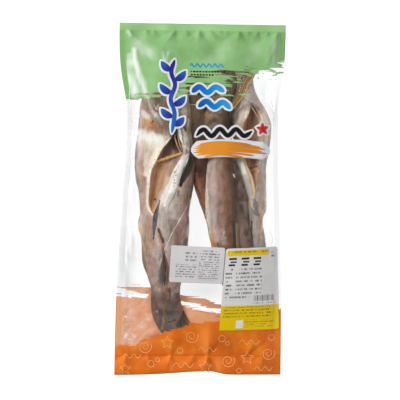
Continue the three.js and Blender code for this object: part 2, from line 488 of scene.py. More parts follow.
# A thin bare line along the green print's lower edge, and half its height along X in units of this length
GREEN_GAP_UNIT = 1.6
GREEN_GAP = [(-104, 129), (-80, 130), (-45, 131.5), (-25, 134), (104, 134)]
GREEN_GAP_HALF = [(-104, 0.0), (-86, 0.0), (-78, 0.5), (-46, 0.75), (-20, 0.4), (0, 0.0), (104, 0.0)]
FRONT_ORANGE_EDGE = [
    (-104, -183), (-78, -183), (-59, -170), (-41, -165), (-24, -160), (-9, -153), (27, -150), (104, -134),
]
BACK_ORANGE_EDGE = [
    (-104, -119.5), (-68, -124), (-64.5, -123), (-62, -116), (-56, -117), (-20, -133), (0, -137),
    (27, -141.5), (104, -150),
]
BACK_BRUSH = [(-104, -109), (-60, -115), (0, -126), (27, -133), (104, -140)]
BACK_STREAK_REACH = 20
BACK_PRINT_HEIGHT = 95
# The crease along which the bottom of the pouch folds
FOLD_LINE = [(-104, -196), (-40, -194), (10, -193), (50, -194.4), (104, -192.6)]


def across_curve(recipe, across, stops):
    """A value from 0 to 1 that follows (x, value) stops across the pouch."""
    half = POUCH_WIDTH / 2
    line = [((x + half) / POUCH_WIDTH, value) for x, value in stops]
    return recipe.curve(recipe.share(across, -half * MM, half * MM), line)


def line_height(recipe, across, stops):
    """The height in metres of a line of (x, y) stops over each place across the pouch."""
    low = -POUCH_LENGTH / 2
    level = across_curve(recipe, across, [(x, (y - low) / POUCH_LENGTH) for x, y in stops])
    return recipe.scaled(level, POUCH_LENGTH * MM, low * MM)


def off_line(recipe, across, along, stops):
    """How far each place is above or below a line of (x, y) stops, in metres."""
    return recipe.math("ABSOLUTE", recipe.minus(along, line_height(recipe, across, stops)))


def bristles(recipe, length, seed, grain=3.2, detail=5.0):
    """Brush streaks along X, around 0."""
    marks = recipe.noise(recipe.place((1 / length, 1, 1), shift=(seed, seed, 0)), grain, detail)
    return recipe.minus(marks, 0.5)


def green_field(recipe, across, along):
    """1 inside the green print, 0 below its streaky edge and in the bare line along it."""
    streaks = bristles(recipe, 13, 1.7, 3.8, 2.0)
    strength = recipe.times(across_curve(recipe, across, GREEN_STREAKS), GREEN_STREAK_REACH * MM)
    wander = recipe.math("MAXIMUM", recipe.times(streaks, strength), -GREEN_OPENS * MM)
    over = recipe.minus(along, line_height(recipe, across, GREEN_EDGE))
    field = recipe.step(recipe.math("ADD", over, wander), -PRINT_BLUR, PRINT_BLUR)
    away = recipe.scaled(streaks, 6 * MM, off_line(recipe, across, along, GREEN_GAP))
    half_gap = across_curve(recipe, across, GREEN_GAP_HALF)
    gap = recipe.scaled(half_gap, GREEN_GAP_UNIT * MM, recipe.times(away, -1.0))
    gap = recipe.step(gap, -PRINT_BLUR, PRINT_BLUR)
    return recipe.times(field, recipe.minus(1.0, gap))


def front_orange_field(recipe, across, along):
    """1 inside the front's orange print, 0 above its ragged edge."""
    wander = recipe.times(bristles(recipe, 2.2, 4.1), 16 * MM)
    under = recipe.minus(line_height(recipe, across, FRONT_ORANGE_EDGE), along)
    return recipe.step(recipe.math("ADD", under, wander), -PRINT_BLUR, PRINT_BLUR)


def back_orange_field(recipe, across, along):
    """1 inside the back's orange print and the loose brush streak above it."""
    streaks = bristles(recipe, 24, 8.3)
    under = recipe.minus(line_height(recipe, across, BACK_ORANGE_EDGE), along)
    under = recipe.scaled(streaks, BACK_STREAK_REACH * MM, under)
    width = recipe.times(recipe.step(across, -0.1, -0.07), 3.4 * MM)
    away = off_line(recipe, across, along, BACK_BRUSH)
    streak = recipe.minus(recipe.scaled(streaks, BACK_STREAK_REACH * MM, width), away)
    return recipe.step(recipe.math("MAXIMUM", under, streak), -PRINT_BLUR, PRINT_BLUR)


def crumpled_facets(recipe):
    """Painted highlights: small facets and ridges that catch the light where the film is crumpled, from 0
    to 1.
    """
    bent = recipe.node("TexNoise", {"Vector": recipe.place(), "Scale": 60.0, "Detail": 2.0})
    where = recipe.mix(0.012, recipe.slanted(-0.8, (0.55, 1.25, 1)), bent.outputs["Color"], "ADD")
    pattern = {"Vector": where, "Scale": 1 / (FACET * MM)}
    cells = recipe.node("TexVoronoi", pattern)
    to_edge = recipe.node("TexVoronoi", pattern, feature="DISTANCE_TO_EDGE").outputs["Distance"]
    facet = recipe.step(recipe.grey(cells.outputs["Color"]), 0.4, 0.8)
    facet = recipe.times(facet, recipe.step(to_edge, 0.0, 0.22))
    ridge = recipe.step(to_edge, 0.07, 0.0)
    both = recipe.scaled(facet, 0.36, recipe.times(ridge, 0.1))
    return recipe.times(both, recipe.attribute("crumple_highlight"))


def film_print(recipe, front, across, along):
    """The shares of green and of orange print on the film."""
    green = green_field(recipe, across, along)
    orange = recipe.times(front, front_orange_field(recipe, across, along))
    rear = recipe.times(recipe.minus(1.0, front), back_orange_field(recipe, across, along))
    return green, recipe.math("ADD", orange, rear)


def ink_colour(recipe, across, along, green, orange):
    """The print's colour: cloudy, other shades on the seals and a painted shadow line along the bottom
    fold.
    """
    cloud = recipe.noise(recipe.place(), 34, 3.0)
    colour = recipe.mix(green, recipe.ramp(cloud, ORANGE_INK), recipe.ramp(cloud, GREEN_INK))
    for seal, share, orange_tint, green_tint in SEAL_INKS:
        seal_ink = recipe.mix(green, orange_tint, green_tint)
        colour = recipe.mix(recipe.times(recipe.attribute(seal), share), colour, seal_ink)
    # Painted shade: a dark line in the crease of the bottom fold
    fold = recipe.step(off_line(recipe, across, along, FOLD_LINE), 1.2 * MM, 0.2 * MM)
    fold = recipe.times(fold, orange)
    return recipe.mix(recipe.times(fold, 0.45), colour, srgb(150, 62, 6))


def film_cover(recipe, ink, painted_sheen):
    """How much the film hides: little where it is clear, more under its painted highlights, nearly all
    where it is printed.
    """
    cover = recipe.scaled(recipe.attribute("side_seal"), 0.05, FILM_GLOSS)
    cover = recipe.scaled(recipe.attribute("haze"), 0.08, cover)
    cover = recipe.scaled(painted_sheen, 0.4, cover)
    return recipe.math("MAXIMUM", cover, recipe.times(ink, INK_COVER))


def film_material():
    """Clear glossy film with print, painted light and shade on the print's pleats, and painted highlights
    in pale veils and crumpled facets.
    """
    recipe = Recipe("pouch_film")
    here = recipe.place()
    across = recipe.axis(here, "X")
    along = recipe.axis(here, "Y")
    front = recipe.step(recipe.attribute("front"), 0.4, 0.6)
    green, orange = film_print(recipe, front, across, along)
    ink = recipe.math("MAXIMUM", green, orange, clamp=True)

    colour = recipe.mix(ink, (0.97, 0.98, 1.0, 1), ink_colour(recipe, across, along, green, orange))
    # Painted shade and light: the print darkens and lightens with the pleats' slope and soft spots
    tone = recipe.scaled(recipe.attribute("tone"), 0.56, 0.72)
    colour = recipe.mix(ink, colour, recipe.mix(1.0, colour, tone, "MULTIPLY"))
    # Painted light: the orange print turns paler on the lit sides of its folds
    light = recipe.times(recipe.step(recipe.attribute("tone"), 0.5, 0.95), orange)
    colour = recipe.mix(recipe.times(light, 0.5), colour, srgb(228, 144, 62))
    # Painted highlights: crumpled facets and veils mix the film's colour towards warm white
    facets = crumpled_facets(recipe)
    painted_sheen = recipe.math("ADD", recipe.attribute("painted_sheen"), facets, clamp=True)
    veil = recipe.mix(recipe.step(facets, 0.0, 0.3), (0.88, 0.89, 0.88, 1), (0.9, 0.8, 0.74, 1))
    colour = recipe.mix(recipe.times(painted_sheen, 0.7), colour, veil)

    crinkle = recipe.noise(recipe.place((1.4, 0.5, 1)), 14, 5.0, 0.55, 0.6)
    sheen = recipe.surface({
        "Base Color": colour,
        "Metallic": recipe.times(recipe.minus(1.0, ink), recipe.minus(1.0, painted_sheen)),
        "Roughness": recipe.scaled(recipe.math("MAXIMUM", ink, painted_sheen), 0.33, 0.22),
        "Normal": recipe.bump(crinkle, 0.25, 1.2),
        "Specular IOR Level": 0.25,
        "Coat Weight": 0.15,
        "Coat Roughness": 0.3,
    })
    return recipe.see_through(film_cover(recipe, ink, painted_sheen), sheen, (0.985, 0.988, 0.99, 1))


def back_print_material():
    """The back's orange print seen from inside the pouch, paler than its face, with painted light and shade
    of crumpled folds on the left.
    """
    recipe = Recipe("back_print_inside")
    here = recipe.place()
    across = recipe.axis(here, "X")
    orange = back_orange_field(recipe, across, recipe.axis(here, "Y"))
    cloud = recipe.noise(here, 40, 3.0)
    colour = recipe.ramp(cloud, [(0.3, srgb(202, 140, 102)), (0.7, srgb(220, 160, 116))])
    crumpled = recipe.step(across, -0.044, -0.064)
    # Painted light and shade: paler bands on the folds' lit sides and darker ones between, where the film
    # is crumpled
    folds = recipe.noise(recipe.slanted(-0.85, (0.36, 1, 1)), 8, 2.0, 0.5, 0.6)
    pale = recipe.times(recipe.step(folds, 0.42, 0.62), crumpled)
    colour = recipe.mix(recipe.times(pale, 0.55), colour, srgb(220, 178, 158))
    deep = recipe.times(recipe.step(folds, 0.44, 0.32), crumpled)
    colour = recipe.mix(recipe.times(deep, 0.5), colour, srgb(194, 126, 90))
    colour = recipe.mix(recipe.step(recipe.attribute("seal"), 0.4, 0.6), colour, srgb(216, 154, 104))
    return recipe.see_through(orange, recipe.surface({"Base Color": colour, "Roughness": 0.4}))


def skin_shade(recipe, seed, mottle, grain):
    """The light and dark of half-dried skin: mottled, streaked along the fish and grainy."""
    streak = recipe.noise(recipe.place((1, 0.14, 1), shift=(0, seed, 0)), 2.2, 4.0, 0.6)
    shade = recipe.scaled(mottle, 0.8, recipe.times(streak, 0.5))
    return recipe.scaled(grain, 0.5, shade)


def speckled(recipe, here, skin):
    """Small dark specks over a skin colour."""
    cells = recipe.node("TexVoronoi", {"Vector": here, "Scale": 380.0})
    chosen = recipe.step(recipe.grey(cells.outputs["Color"]), 0.66, 0.7)
    speck = recipe.times(recipe.step(cells.outputs["Distance"], 0.34, 0.2), chosen)
    return recipe.mix(recipe.times(speck, 0.4), skin, srgb(52, 40, 34))


def fish_material(name, chevrons, seed, gloss):
    """Half-dried skin: the painted colours of the piece, mottled, specked and folded on the flanks."""
    recipe = Recipe(name)
    here = recipe.place(shift=(seed, seed, seed))
    paint = recipe.painted("paint")
    back = recipe.attribute("back")
    mottle = recipe.noise(recipe.place((1, 0.5, 1), shift=(seed, 0, 0)), 6, 5.0, 0.62)
    grain = recipe.noise(here, 1.6, 4.0, 0.7)
    shade = skin_shade(recipe, seed, mottle, grain)

    bright = recipe.step(recipe.grey(paint), 0.28, 0.62)
    swing = recipe.scaled(bright, -1.3, 1.7)
    skin = recipe.mix(1.0, paint, recipe.scaled(recipe.minus(shade, 0.9), swing, 1.0), "MULTIPLY")
    hue = recipe.noise(here, 11, 4.0)
    stain = recipe.scaled(bright, -0.55, 0.7)
    for end, tint in ((0.68, (1.16, 0.95, 0.82, 1)), (0.34, (0.94, 1.0, 0.94, 1))):
        skin = recipe.mix(recipe.times(recipe.step(hue, 0.5, end), stain), skin, tint, "MULTIPLY")
    skin = speckled(recipe, here, skin)

    slant = recipe.math("ABSOLUTE", recipe.minus(back, 0.72))
    phase = recipe.scaled(slant, 130.0, recipe.times(recipe.attribute("along"), 1.9))
    phase = recipe.scaled(mottle, 5.0, phase)
    folds = recipe.scaled(recipe.math("SINE", phase), 0.5, 0.5)
    flank = recipe.times(recipe.step(back, 0.3, 0.5), recipe.step(back, 0.985, 0.93))
    flank = recipe.times(recipe.times(flank, recipe.step(hue, 0.38, 0.6)), chevrons)
    skin = recipe.mix(recipe.times(folds, flank), skin, srgb(190, 164, 150))
    return recipe.done(recipe.surface({
        "Base Color": recipe.mix(recipe.times(recipe.attribute("inside"), 0.6), skin, paint),
        "Roughness": recipe.scaled(grain, 0.3, 0.28),
        "Specular IOR Level": gloss,
        "Normal": recipe.bump(recipe.scaled(folds, flank, shade), 0.7, 1.0),
    }))


def tail_material(name):
    """A dried tail fin: the painted colours of the piece, with fine dark rays."""
    recipe = Recipe(name)
    where = recipe.uv()
    mottle = recipe.noise(recipe.place((1, 0.4, 1)), 6, 5.0, 0.6)
    line = recipe.scaled(recipe.axis(where, "X"), TAIL_RAYS * math.tau, recipe.times(mottle, 9.0))
    line = recipe.scaled(recipe.math("SINE", line), 0.5, 0.5)
    line = recipe.times(line, recipe.step(recipe.axis(where, "Y"), 0.2, 0.5))
    light = recipe.scaled(recipe.minus(mottle, 0.5), 1.2, 1.0)
    colour = recipe.mix(1.0, recipe.painted("paint"), light, "MULTIPLY")
    return recipe.done(recipe.surface({
        "Base Color": recipe.mix(recipe.times(line, 0.14), colour, srgb(44, 34, 30)),
        "Roughness": 0.5,
        "Specular IOR Level": 0.35,
        "Normal": recipe.bump(line, 0.4, 0.5),
    }))


def fin_material(name, bands, rays):
    """A dried fin: colours in bands across it, blotched, with fine rays along its length."""
    recipe = Recipe(name)
    across = recipe.axis(recipe.uv(), "X")
    mottle = recipe.noise(recipe.place((1, 0.5, 1)), 6, 5.0, 0.6)
    line = recipe.scaled(across, rays * math.tau, recipe.times(mottle, 4.0))
    line = recipe.scaled(recipe.math("SINE", line), 0.5, 0.5)
    tone = recipe.math("ADD", across, recipe.scaled(mottle, 0.3, -0.15), clamp=True)
    colour = recipe.ramp(tone, bands)
    colour = recipe.mix(recipe.times(line, 0.3), colour, srgb(38, 31, 28))
    colour = recipe.mix(recipe.times(recipe.step(mottle, 0.54, 0.7), 0.3), colour, srgb(150, 132, 116))
    return recipe.done(recipe.surface({
        "Base Color": colour,
        "Roughness": 0.5,
        "Specular IOR Level": 0.18,
        "Normal": recipe.bump(line, 0.5, 0.5),
    }))


def flesh_material(name):
    """Cut flesh and thin belly skin: the painted colours of the piece, faintly blotched and moist."""
    recipe = Recipe(name)
    paint = recipe.painted("paint")
    blotch = recipe.noise(recipe.place((1, 0.4, 1), 0.3), 5, 4.0)
    colour = recipe.mix(recipe.step(blotch, 0.5, 0.3), paint, recipe.mix(0.3, paint, srgb(120, 92, 72)))
    return recipe.done(recipe.surface({
        "Base Color": colour,
        "Roughness": 0.38,
        "Normal": recipe.bump(blotch, 0.25, 0.5),
    }))


def wood_material():
    recipe = Recipe("pick_wood")
    grain = recipe.noise(recipe.place((0.2, 1, 1), 0.33), 1.2, 4.0)
    colour = recipe.ramp(grain, [(0.3, srgb(170, 122, 68)), (0.7, srgb(204, 160, 100))])
    return recipe.done(recipe.surface({"Base Color": colour, "Roughness": 0.5}))


def print_material(name, stops):
    """Ink on the film, shaded along the print's length."""
    recipe = Recipe(name)
    uneven = recipe.noise(recipe.place(), 12, 4.0)
    tone = recipe.math("ADD", recipe.axis(recipe.uv(), "Y"), recipe.scaled(uneven, 0.16, -0.08), clamp=True)
    colour = recipe.ramp(tone, stops)
    return recipe.done(recipe.surface({"Base Color": colour, "Roughness": 0.3, "Specular IOR Level": 0.2}))


def floor_material():
    recipe = Recipe("pale_floor")
    tint = recipe.noise(recipe.place(), 300, 2.0)
    colour = recipe.ramp(tint, [(0.0, (0.15, 0.15, 0.15, 1)), (1.0, (0.17, 0.17, 0.17, 1))])
    return recipe.done(recipe.surface({
        "Base Color": colour,
        "Roughness": 0.9,
        "Specular IOR Level": 0.1,
        "Emission Color": (1, 1, 1, 1),
        "Emission Strength": FLOOR_GLOW,
    }))


# The film's form

# Pleats below the top seal: place along X, height, reach down the front, lean to the left
PUCKERS = [
    (-92, 3.0, 7, -0.3), (-70, 2.2, 4, 0), (-60, 2.0, 4, 0.2), (-34, 4.2, 7, 0.7), (-20, 2.4, 5, 0),
    (-4, 4.4, 7, 0.1), (9, 2.6, 6, -0.6), (22, 1.6, 3, 0), (30, 1.6, 3, 0), (46, 4.2, 7, 0.2),
    (57, 1.6, 3, 0), (69, 3.3, 6, 0.5), (82, 2.2, 5, 0.4), (95, 4.0, 9, 0.5),
]
# Pleats along the bottom fold: place along X, height, reach, lean to the left, 1 for down or -1 for up
FOLD_Y = -193
FOLD_PLEATS = [
    (13, 4.0, 9, 0.2, 1), (13, 3.6, 11, 0.0, -1), (-33, 3.8, 8, 0.3, 1), (-33, 3.0, 9, 0.0, -1),
    (-88, 3.0, 8, 0.3, 1), (62, 3.2, 10, -0.4, -1), (82, 2.8, 8, 0.2, 1), (46, 2.4, 9, -0.4, 1),
    (-62, 2.3, 9, -0.2, 1), (-4, 2.5, 8, 0.5, 1),
]
# Creases: start, end, height, half width, strength of the painted highlight on the crest
CREASES = [
    ((-94, 209), (-46, 172), 2.2, 4.0, 0.1),
    ((-86, 192), (-77, 138), 3.4, 3.6, 1.0),
    ((-50, 186), (-42, 160), 2.2, 2.2, 0.8),
    ((98, 210), (79, 168), 3.2, 4.4, 0.1),
    ((66, 150), (58, 112), 1.4, 1.4, 0.3),
    ((-96, -196), (95, -193), -2.0, 1.3, 0.0),
]
CREASE_WOBBLE = 1.6
# Painted highlights: soft pale veils and small glints where the film turns to the light: line of places,
# half width, strength
VEILS = [
    ([(-86, 186), (-83, 173), (-79.5, 163), (-76, 152), (-72, 142), (-70, 131)], 3.0, 0.66),
    ([(-90, 178), (-89, 170)], 4.0, 0.5), ([(-80, 193), (-66, 184)], 7, 0.36),
    ([(-94, 211), (-90, 204)], 1.8, 0.6), ([(-72, 186), (-60, 175)], 4, 0.22),
    ([(96, 206), (90, 168)], 6, 0.2), ([(-42.4, 183), (-43.7, 174), (-47.2, 169), (-48, 160)], 1.8, 0.6),
    ([(-91, 150), (-86, 132)], 8, 0.35), ([(-91, 168), (-92, 156), (-87, 134)], 6.4, 0.7),
    ([(-84, 152), (-79, 134)], 7, 0.26), ([(-67.5, 126), (-65, 118), (-59.3, 108)], 1.9, 0.6),
    ([(-59.3, 108), (-53.4, 101), (-49, 93)], 1.6, 0.4), ([(-70, 107), (-67, 102)], 3.5, 0.35),
    ([(30, 192), (20, 178), (6, 170)], 7, 0.16), ([(66, 190), (60, 176)], 8, 0.14),
    ([(62, 136), (58, 118)], 5, 0.16), ([(-91, -171), (-89, -173)], 1.6, 0.8),
    ([(-82, -168), (-78, -173)], 2.0, 0.8), ([(-86, -174), (-83, -176)], 1.5, 0.7),
    ([(-68, -149), (-58, -149)], 1.2, 0.5), ([(-82, -148), (-79, -149)], 1.5, 0.5),
    ([(-78, -150), (-70, -162)], 3.6, 0.2),
]
# Thin creases in the film, over the left fish and along both sides, laid on as pale strips of painted
# highlight
FINE_CREASES = [
    [(-15, -6), (-21, -18), (-27, -29), (-34, -42), (-41, -58), (-49, -75)],
    [(-91, 158), (-90, 130), (-91, 104)], [(-80, 108), (-86, 101), (-89, 92), (-88, 80)],
    [(-82, 96), (-90, 84), (-92, 66)], [(-86, 58), (-91, 44), (-92, 26)], [(86, 130), (89, 114), (90, 98)],
    [(93, 142), (91, 122)], [(88, -36), (91, -48), (89, -56)],
]
# Crumpled spots: place, reach, height, strength of the painted highlights on their facets
WRINKLED_SPOTS = [
    (-80, -140, 19, 3.6, 0.8), (-64, -144, 12, 3.0, 0.7), (-88, -162, 18, 3.0, 0.9),
    (-66, -162, 13, 2.6, 0.7), (-60, 122, 16, 0.8, 0.1), (-84, 168, 16, 2.4, 0.5), (86, 118, 14, 1.6, 0.4),
    (60, 136, 14, 1.2, 0.2), (-90, -70, 14, 1.4, 0.5), (92, 20, 16, 1.4, 0.2), (-92, 60, 14, 1.0, 0.3),
    (94, -30, 14, 1.0, 0.2),
]

# Where slack film looks grey, or clearer for a negative strength: place, half width, half height, strength
HAZY_SPOTS = [
    (-92, -70, 12, 42, 1.6), (-88, 108, 9, 26, 1.1), (5, -114, 26, 13, 1.2), (-92, 20, 9, 34, 0.5),
    (90, 112, 8, 16, 1.6), (82, 126, 9, 14, 1.1), (-57, 92, 9, 9, -0.7),
]
# Painted light and shade on the print: place, half width, half height, strength
LIGHT_AND_SHADE_SPOTS = [
    (10, -168, 10, 14, 0.36), (12, -184, 5, 10, 0.26), (37, -176, 14, 14, -0.26), (66, -180, 12, 12, -0.1),
    (-64, -178, 18, 12, 0.28), (-26, -172, 14, 12, 0.1), (-94, -206, 12, 12, 0.18),
    (91, -208, 18, 16, -0.36), (46, -210, 12, 14, -0.24), (26, -205, 6, 11, 0.34), (-33, -204, 3, 10, 0.36),
    (-64, -206, 14, 12, -0.1), (-10, -208, 12, 10, -0.06), (8, 184, 9, 14, -0.24), (34, 192, 14, 14, 0.14),
    (74, 196, 14, 12, 0.12), (-50, 214, 6, 5, 0.26), (-84, 214, 16, 5, -0.26), (-36, 214, 7, 5, -0.2),
    (14, 214, 20, 5, 0.16), (72, 214, 12, 5, -0.2), (-62, 160, 14, 22, 0.12),
]


def crease_crest(x, y, start, end, width):
    """A sharp, slightly wavy crest along a line that fades out at both ends, from 0 to 1."""
    run = Vector(end) - Vector(start)
    along = ((x - start[0]) * run.x + (y - start[1]) * run.y) / run.length_squared
    across = ((x - start[0]) * run.y - (y - start[1]) * run.x) / run.length
    across = np.abs(across + CREASE_WOBBLE * cloudy(x, y, 14, 14, 5.9))
    fade = np.sin(math.pi * np.clip(along, 0, 1)) ** 0.5
    return np.exp(-across / width) * fade


def pleat_lift(x, away, place, height, reach, lean):
    """A pleat that starts at a point on a seal, steep on its right side, and widens as it fades."""
    away = np.maximum(away, 0)
    off = (x - place + lean * away) / (1.5 + 0.8 * away)
    crest = np.maximum(1 - np.where(off < 0, -off / 1.5, off), 0)
    return height * crest * away / reach * np.exp(1 - away / reach)


def pleats(x, y):
    """The height of the pleats along the top seal and the bottom fold."""
    lift = np.zeros_like(x)
    for place, height, reach, lean in PUCKERS:
        lift += pleat_lift(x, POUCH_LENGTH / 2 - TOP_SEAL - y, place, height, reach, lean)
    for place, height, reach, lean, way in FOLD_PLEATS:
        lift += pleat_lift(x, (FOLD_Y - y) * way, place, height, reach, lean)
    return lift


def spots(x, y, places):
    """The sum of soft spots: place, half width, half height and strength of each."""
    total = np.zeros_like(x)
    for px, py, wide, high, strength in places:
        total += strength * np.exp(-(((x - px) / wide) ** 2 + ((y - py) / high) ** 2))
    return total


def print_light_and_shade(x, y):
    """Painted light and shade on the print, from 0 to 1: lighter on the pleats' left sides, which face the
    lamps, darker on their right sides, and lighter or darker in soft patches.
    """
    step = 0.8
    slope = (pleats(x + step, y) - pleats(x - step, y)) / (2 * step)
    return np.clip(0.5 + 0.6 * np.clip(slope, -0.7, 0.7) + spots(x, y, LIGHT_AND_SHADE_SPOTS), 0, 1)


def film_folds(x, y):
    """The front film's pleats, creases and slack: their height, their painted highlights, and how strongly
    their crumpled facets are painted light.
    """
    lift = pleats(x, y)
    painted_sheen = np.zeros_like(x)
    for start, end, height, width, white in CREASES:
        crest = crease_crest(x, y, start, end, width)
        lift += height * crest
        painted_sheen += white * crest**2
    slack = np.exp(-(((from_side(x, y) - 14) / 9) ** 2))
    lift += slack * (1.0 + 1.5 * cloudy(x, y, 5, 26, 3.1))
    crumple = np.maximum(1 - np.abs(cloudy(x, y, 9, 12, 7.7)) * 2, 0)
    crumple_highlight = np.zeros_like(x)
    for px, py, reach, height, white in WRINKLED_SPOTS:
        spot = np.exp(-(((x - px) ** 2 + (y - py) ** 2) / reach**2))
        lift += height * spot * crumple
        crumple_highlight += white * spot
    for path, reach, strength in VEILS:
        near = line_distance(x + 2 * cloudy(x, y, 9, 12, 6.1), y, path)
        painted_sheen += strength * ease(reach * 1.7, reach * 0.2, near) * (0.75 + 0.5 * cloudy(x, y, 7, 16, 8.8))
    lift += 0.5 + 0.5 * cloudy(x, y, 22, 30, 1.3)
    return lift, np.clip(painted_sheen, 0, 1), np.clip(crumple_highlight, 0, 1)


def film_piece():
    """A copy of the pouch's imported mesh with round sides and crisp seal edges, finer than the solid."""
    film = bpy.data.objects.new("film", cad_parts["pouch"].data.copy())
    bpy.context.collection.objects.link(film)
    pick_only(film)
    bpy.ops.object.mode_set(mode="EDIT")
    bpy.ops.mesh.select_all(action="SELECT")
    bpy.ops.mesh.remove_doubles(threshold=0.01 * MM)
    bpy.ops.mesh.tris_convert_to_quads(face_threshold=math.pi, shape_threshold=math.pi)
    bpy.ops.mesh.select_all(action="DESELECT")
    bpy.ops.mesh.select_mode(type="EDGE")
    bpy.ops.mesh.edges_select_sharp(sharpness=math.radians(50))
    bpy.ops.transform.edge_crease(value=1)
    bpy.ops.mesh.select_mode(type="VERT")
    bpy.ops.object.mode_set(mode="OBJECT")
    subdivide_smooth(film, 2)
    return film


def make_film():
    """The pouch's film, pleated and creased on its front, with what its material reads at each point."""
    film = film_piece()
    normals = np.empty(len(film.data.vertices) * 3)
    film.data.vertices.foreach_get("normal", normals)
    front = normals.reshape(-1, 3)[:, 2] > 0
    points = points_of(film)
    x, y = points[:, 0], points[:, 1]
    to_side = from_side(x, y) - SIDE_SEAL
    below_top = POUCH_LENGTH / 2 - TOP_SEAL - y
    off_top = ease(0, 2.5, below_top)
    open_share = ease(0, 6, np.minimum(to_side, y + POUCH_LENGTH / 2 - 1)) * off_top
    lift, painted_sheen, crumple_highlight = film_folds(x, y)
    points[:, 2] += np.where(front, lift * open_share, 0)
    put_points(film, points)
    slack = np.exp(-(((to_side - 7) / 9) ** 2)) * np.where(x < 0, 2.2, 0.5)
    haze = slack * np.clip(0.5 + 0.9 * cloudy(x, y, 4, 24, 3.1), 0, 1)
    put_attributes(film, {
        "front": front,
        "side_seal": on_seal(to_side),
        "end_seal": np.maximum(on_seal(below_top), ease(FOLD_Y - 0.2, FOLD_Y - 1.4, y)),
        # Painted highlights of the veils, crease crests and crumpled facets, and the print's painted light
        # and shade
        "painted_sheen": np.where(front, painted_sheen * ease(0, 1.5, to_side) * off_top, 0),
        "crumple_highlight": np.where(front, crumple_highlight * open_share, 0),
        "haze": haze + spots(x, y, HAZY_SPOTS),
        "tone": np.where(front, print_light_and_shade(x, y), 0.5),
    })
    finish_piece(film, film_material())
    film.visible_shadow = False
    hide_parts("pouch")
    return film


def crease_highlight_material():
    """A painted highlight: a pale, half-clear strip where a sharp film crease catches the light along its
    length.
    """
    recipe = Recipe("film_crease_highlight")
    broken = recipe.step(recipe.noise(recipe.place(), 9, 3.0), 0.3, 0.7)
    sheen = recipe.surface({"Base Color": srgb(216, 215, 219), "Roughness": 0.3})
    return recipe.see_through(recipe.scaled(broken, 0.36, 0.12), sheen)


def make_film_creases(film):
    creases = [(path, 0.6, leaf_outline, 120) for path in FINE_CREASES]
    printed("film_creases", creases, film, 0.2, crease_highlight_material()).visible_shadow = False


def make_back_print(film):
    """The inner face of the orange print on the back film."""
    piece, across, along = grid_piece("back_print", 150, 60)
    y = FOLD_Y + along * BACK_PRINT_HEIGHT
    x = left_edge(y) + 0.6 + (right_edge(y) - left_edge(y) - 1.2) * across
    put_points(piece, np.column_stack([x, y, np.zeros_like(x)]))
    put_attribute(piece, "seal", on_seal(from_side(x, y) - SIDE_SEAL))
    lay_on(piece, film, 0.5, from_below=True)
    face_up(piece)
    thicken(piece, 0.1)
    finish_piece(piece, back_print_material())


# The fish

# The palest tint serves as white belly skin and as painted reflection on the skin
TINTS = {
    "glare": srgb(230, 229, 225), "white": srgb(222, 216, 206), "cream": srgb(226, 216, 198),
    "beige": srgb(190, 170, 152), "silver": srgb(180, 169, 160), "lilac": srgb(156, 143, 140),
    "rose": srgb(156, 126, 112), "mauve": srgb(134, 102, 88), "plum": srgb(114, 88, 78),
    "brown": srgb(114, 80, 58), "umber": srgb(80, 58, 44), "dark": srgb(56, 40, 30),
    "bark": srgb(42, 24, 15), "black": srgb(30, 25, 22), "slate": srgb(86, 85, 88),
    "olive": srgb(90, 77, 56), "amber": srgb(184, 136, 84), "rust": srgb(146, 92, 60),
    "tan": srgb(176, 138, 106), "yellow": srgb(204, 174, 122), "dusk": srgb(148, 124, 115),
    "pearl": srgb(177, 159, 154), "ash": srgb(98, 84, 76), "liver": srgb(68, 41, 30),
    "stone": srgb(112, 109, 111),
}
SKIN_RAMP = [
    (0.0, "silver"), (0.18, "beige"), (0.45, "rose"), (0.7, "brown"), (0.9, "umber"), (1.0, "dark"),
]
GUT_RAMP = [(0.0, "beige"), (0.3, "tan"), (0.65, "tan"), (0.9, "amber"), (1.0, "rust")]


def ramp_colours(values, ramp):
    """Colours between the named tints of a ramp."""
    places = [place for place, _ in ramp]
    channels = zip(*(TINTS[tint][:3] for _, tint in ramp))
    return np.column_stack([np.interp(values, places, channel) for channel in channels])


def plain_colours(piece, tint):
    """One tint for every point of a piece."""
    return np.tile(TINTS[tint][:3], (len(piece.data.vertices), 1))


def line_distance(x, y, path):
    """How far each point is from a line of (x, y) points."""
    nearest = np.full_like(x, 1e9)
    for (ax, ay), (bx, by) in zip(path, path[1:]):
        run_x, run_y = bx - ax, by - ay
        share = np.clip(((x - ax) * run_x + (y - ay) * run_y) / (run_x**2 + run_y**2), 0, 1)
        nearest = np.minimum(nearest, np.hypot(x - ax - share * run_x, y - ay - share * run_y))
    return nearest


def paint_marks(piece, colours, marks, seed):
    """Paints marks over a piece's colours. A mark is a tint, a line of points, half width and strength."""
    points = points_of(piece)
    x, y = points[:, 0], points[:, 1]
    warp_x = x + 2.4 * cloudy(x, y, 7, 11, seed + 9) + 1.3 * cloudy(x, y, 2.4, 5, seed + 3)
    warp_y = y + 3.0 * cloudy(x, y, 7, 11, seed + 13)
    for tint, path, reach, strength in marks:
        softness = min(0.45 * reach, 0.8) if reach < 1.5 else 0.62 * reach
        share = ease(reach + softness, reach - softness, line_distance(warp_x, warp_y, path)) * strength
        colours = colours + (np.array(TINTS[tint][:3]) - colours) * share[:, None]
    paint = piece.data.attributes.new("paint", "FLOAT_COLOR", "POINT")
    paint.data.foreach_set("color", np.column_stack([colours, np.ones_like(x)]).ravel())


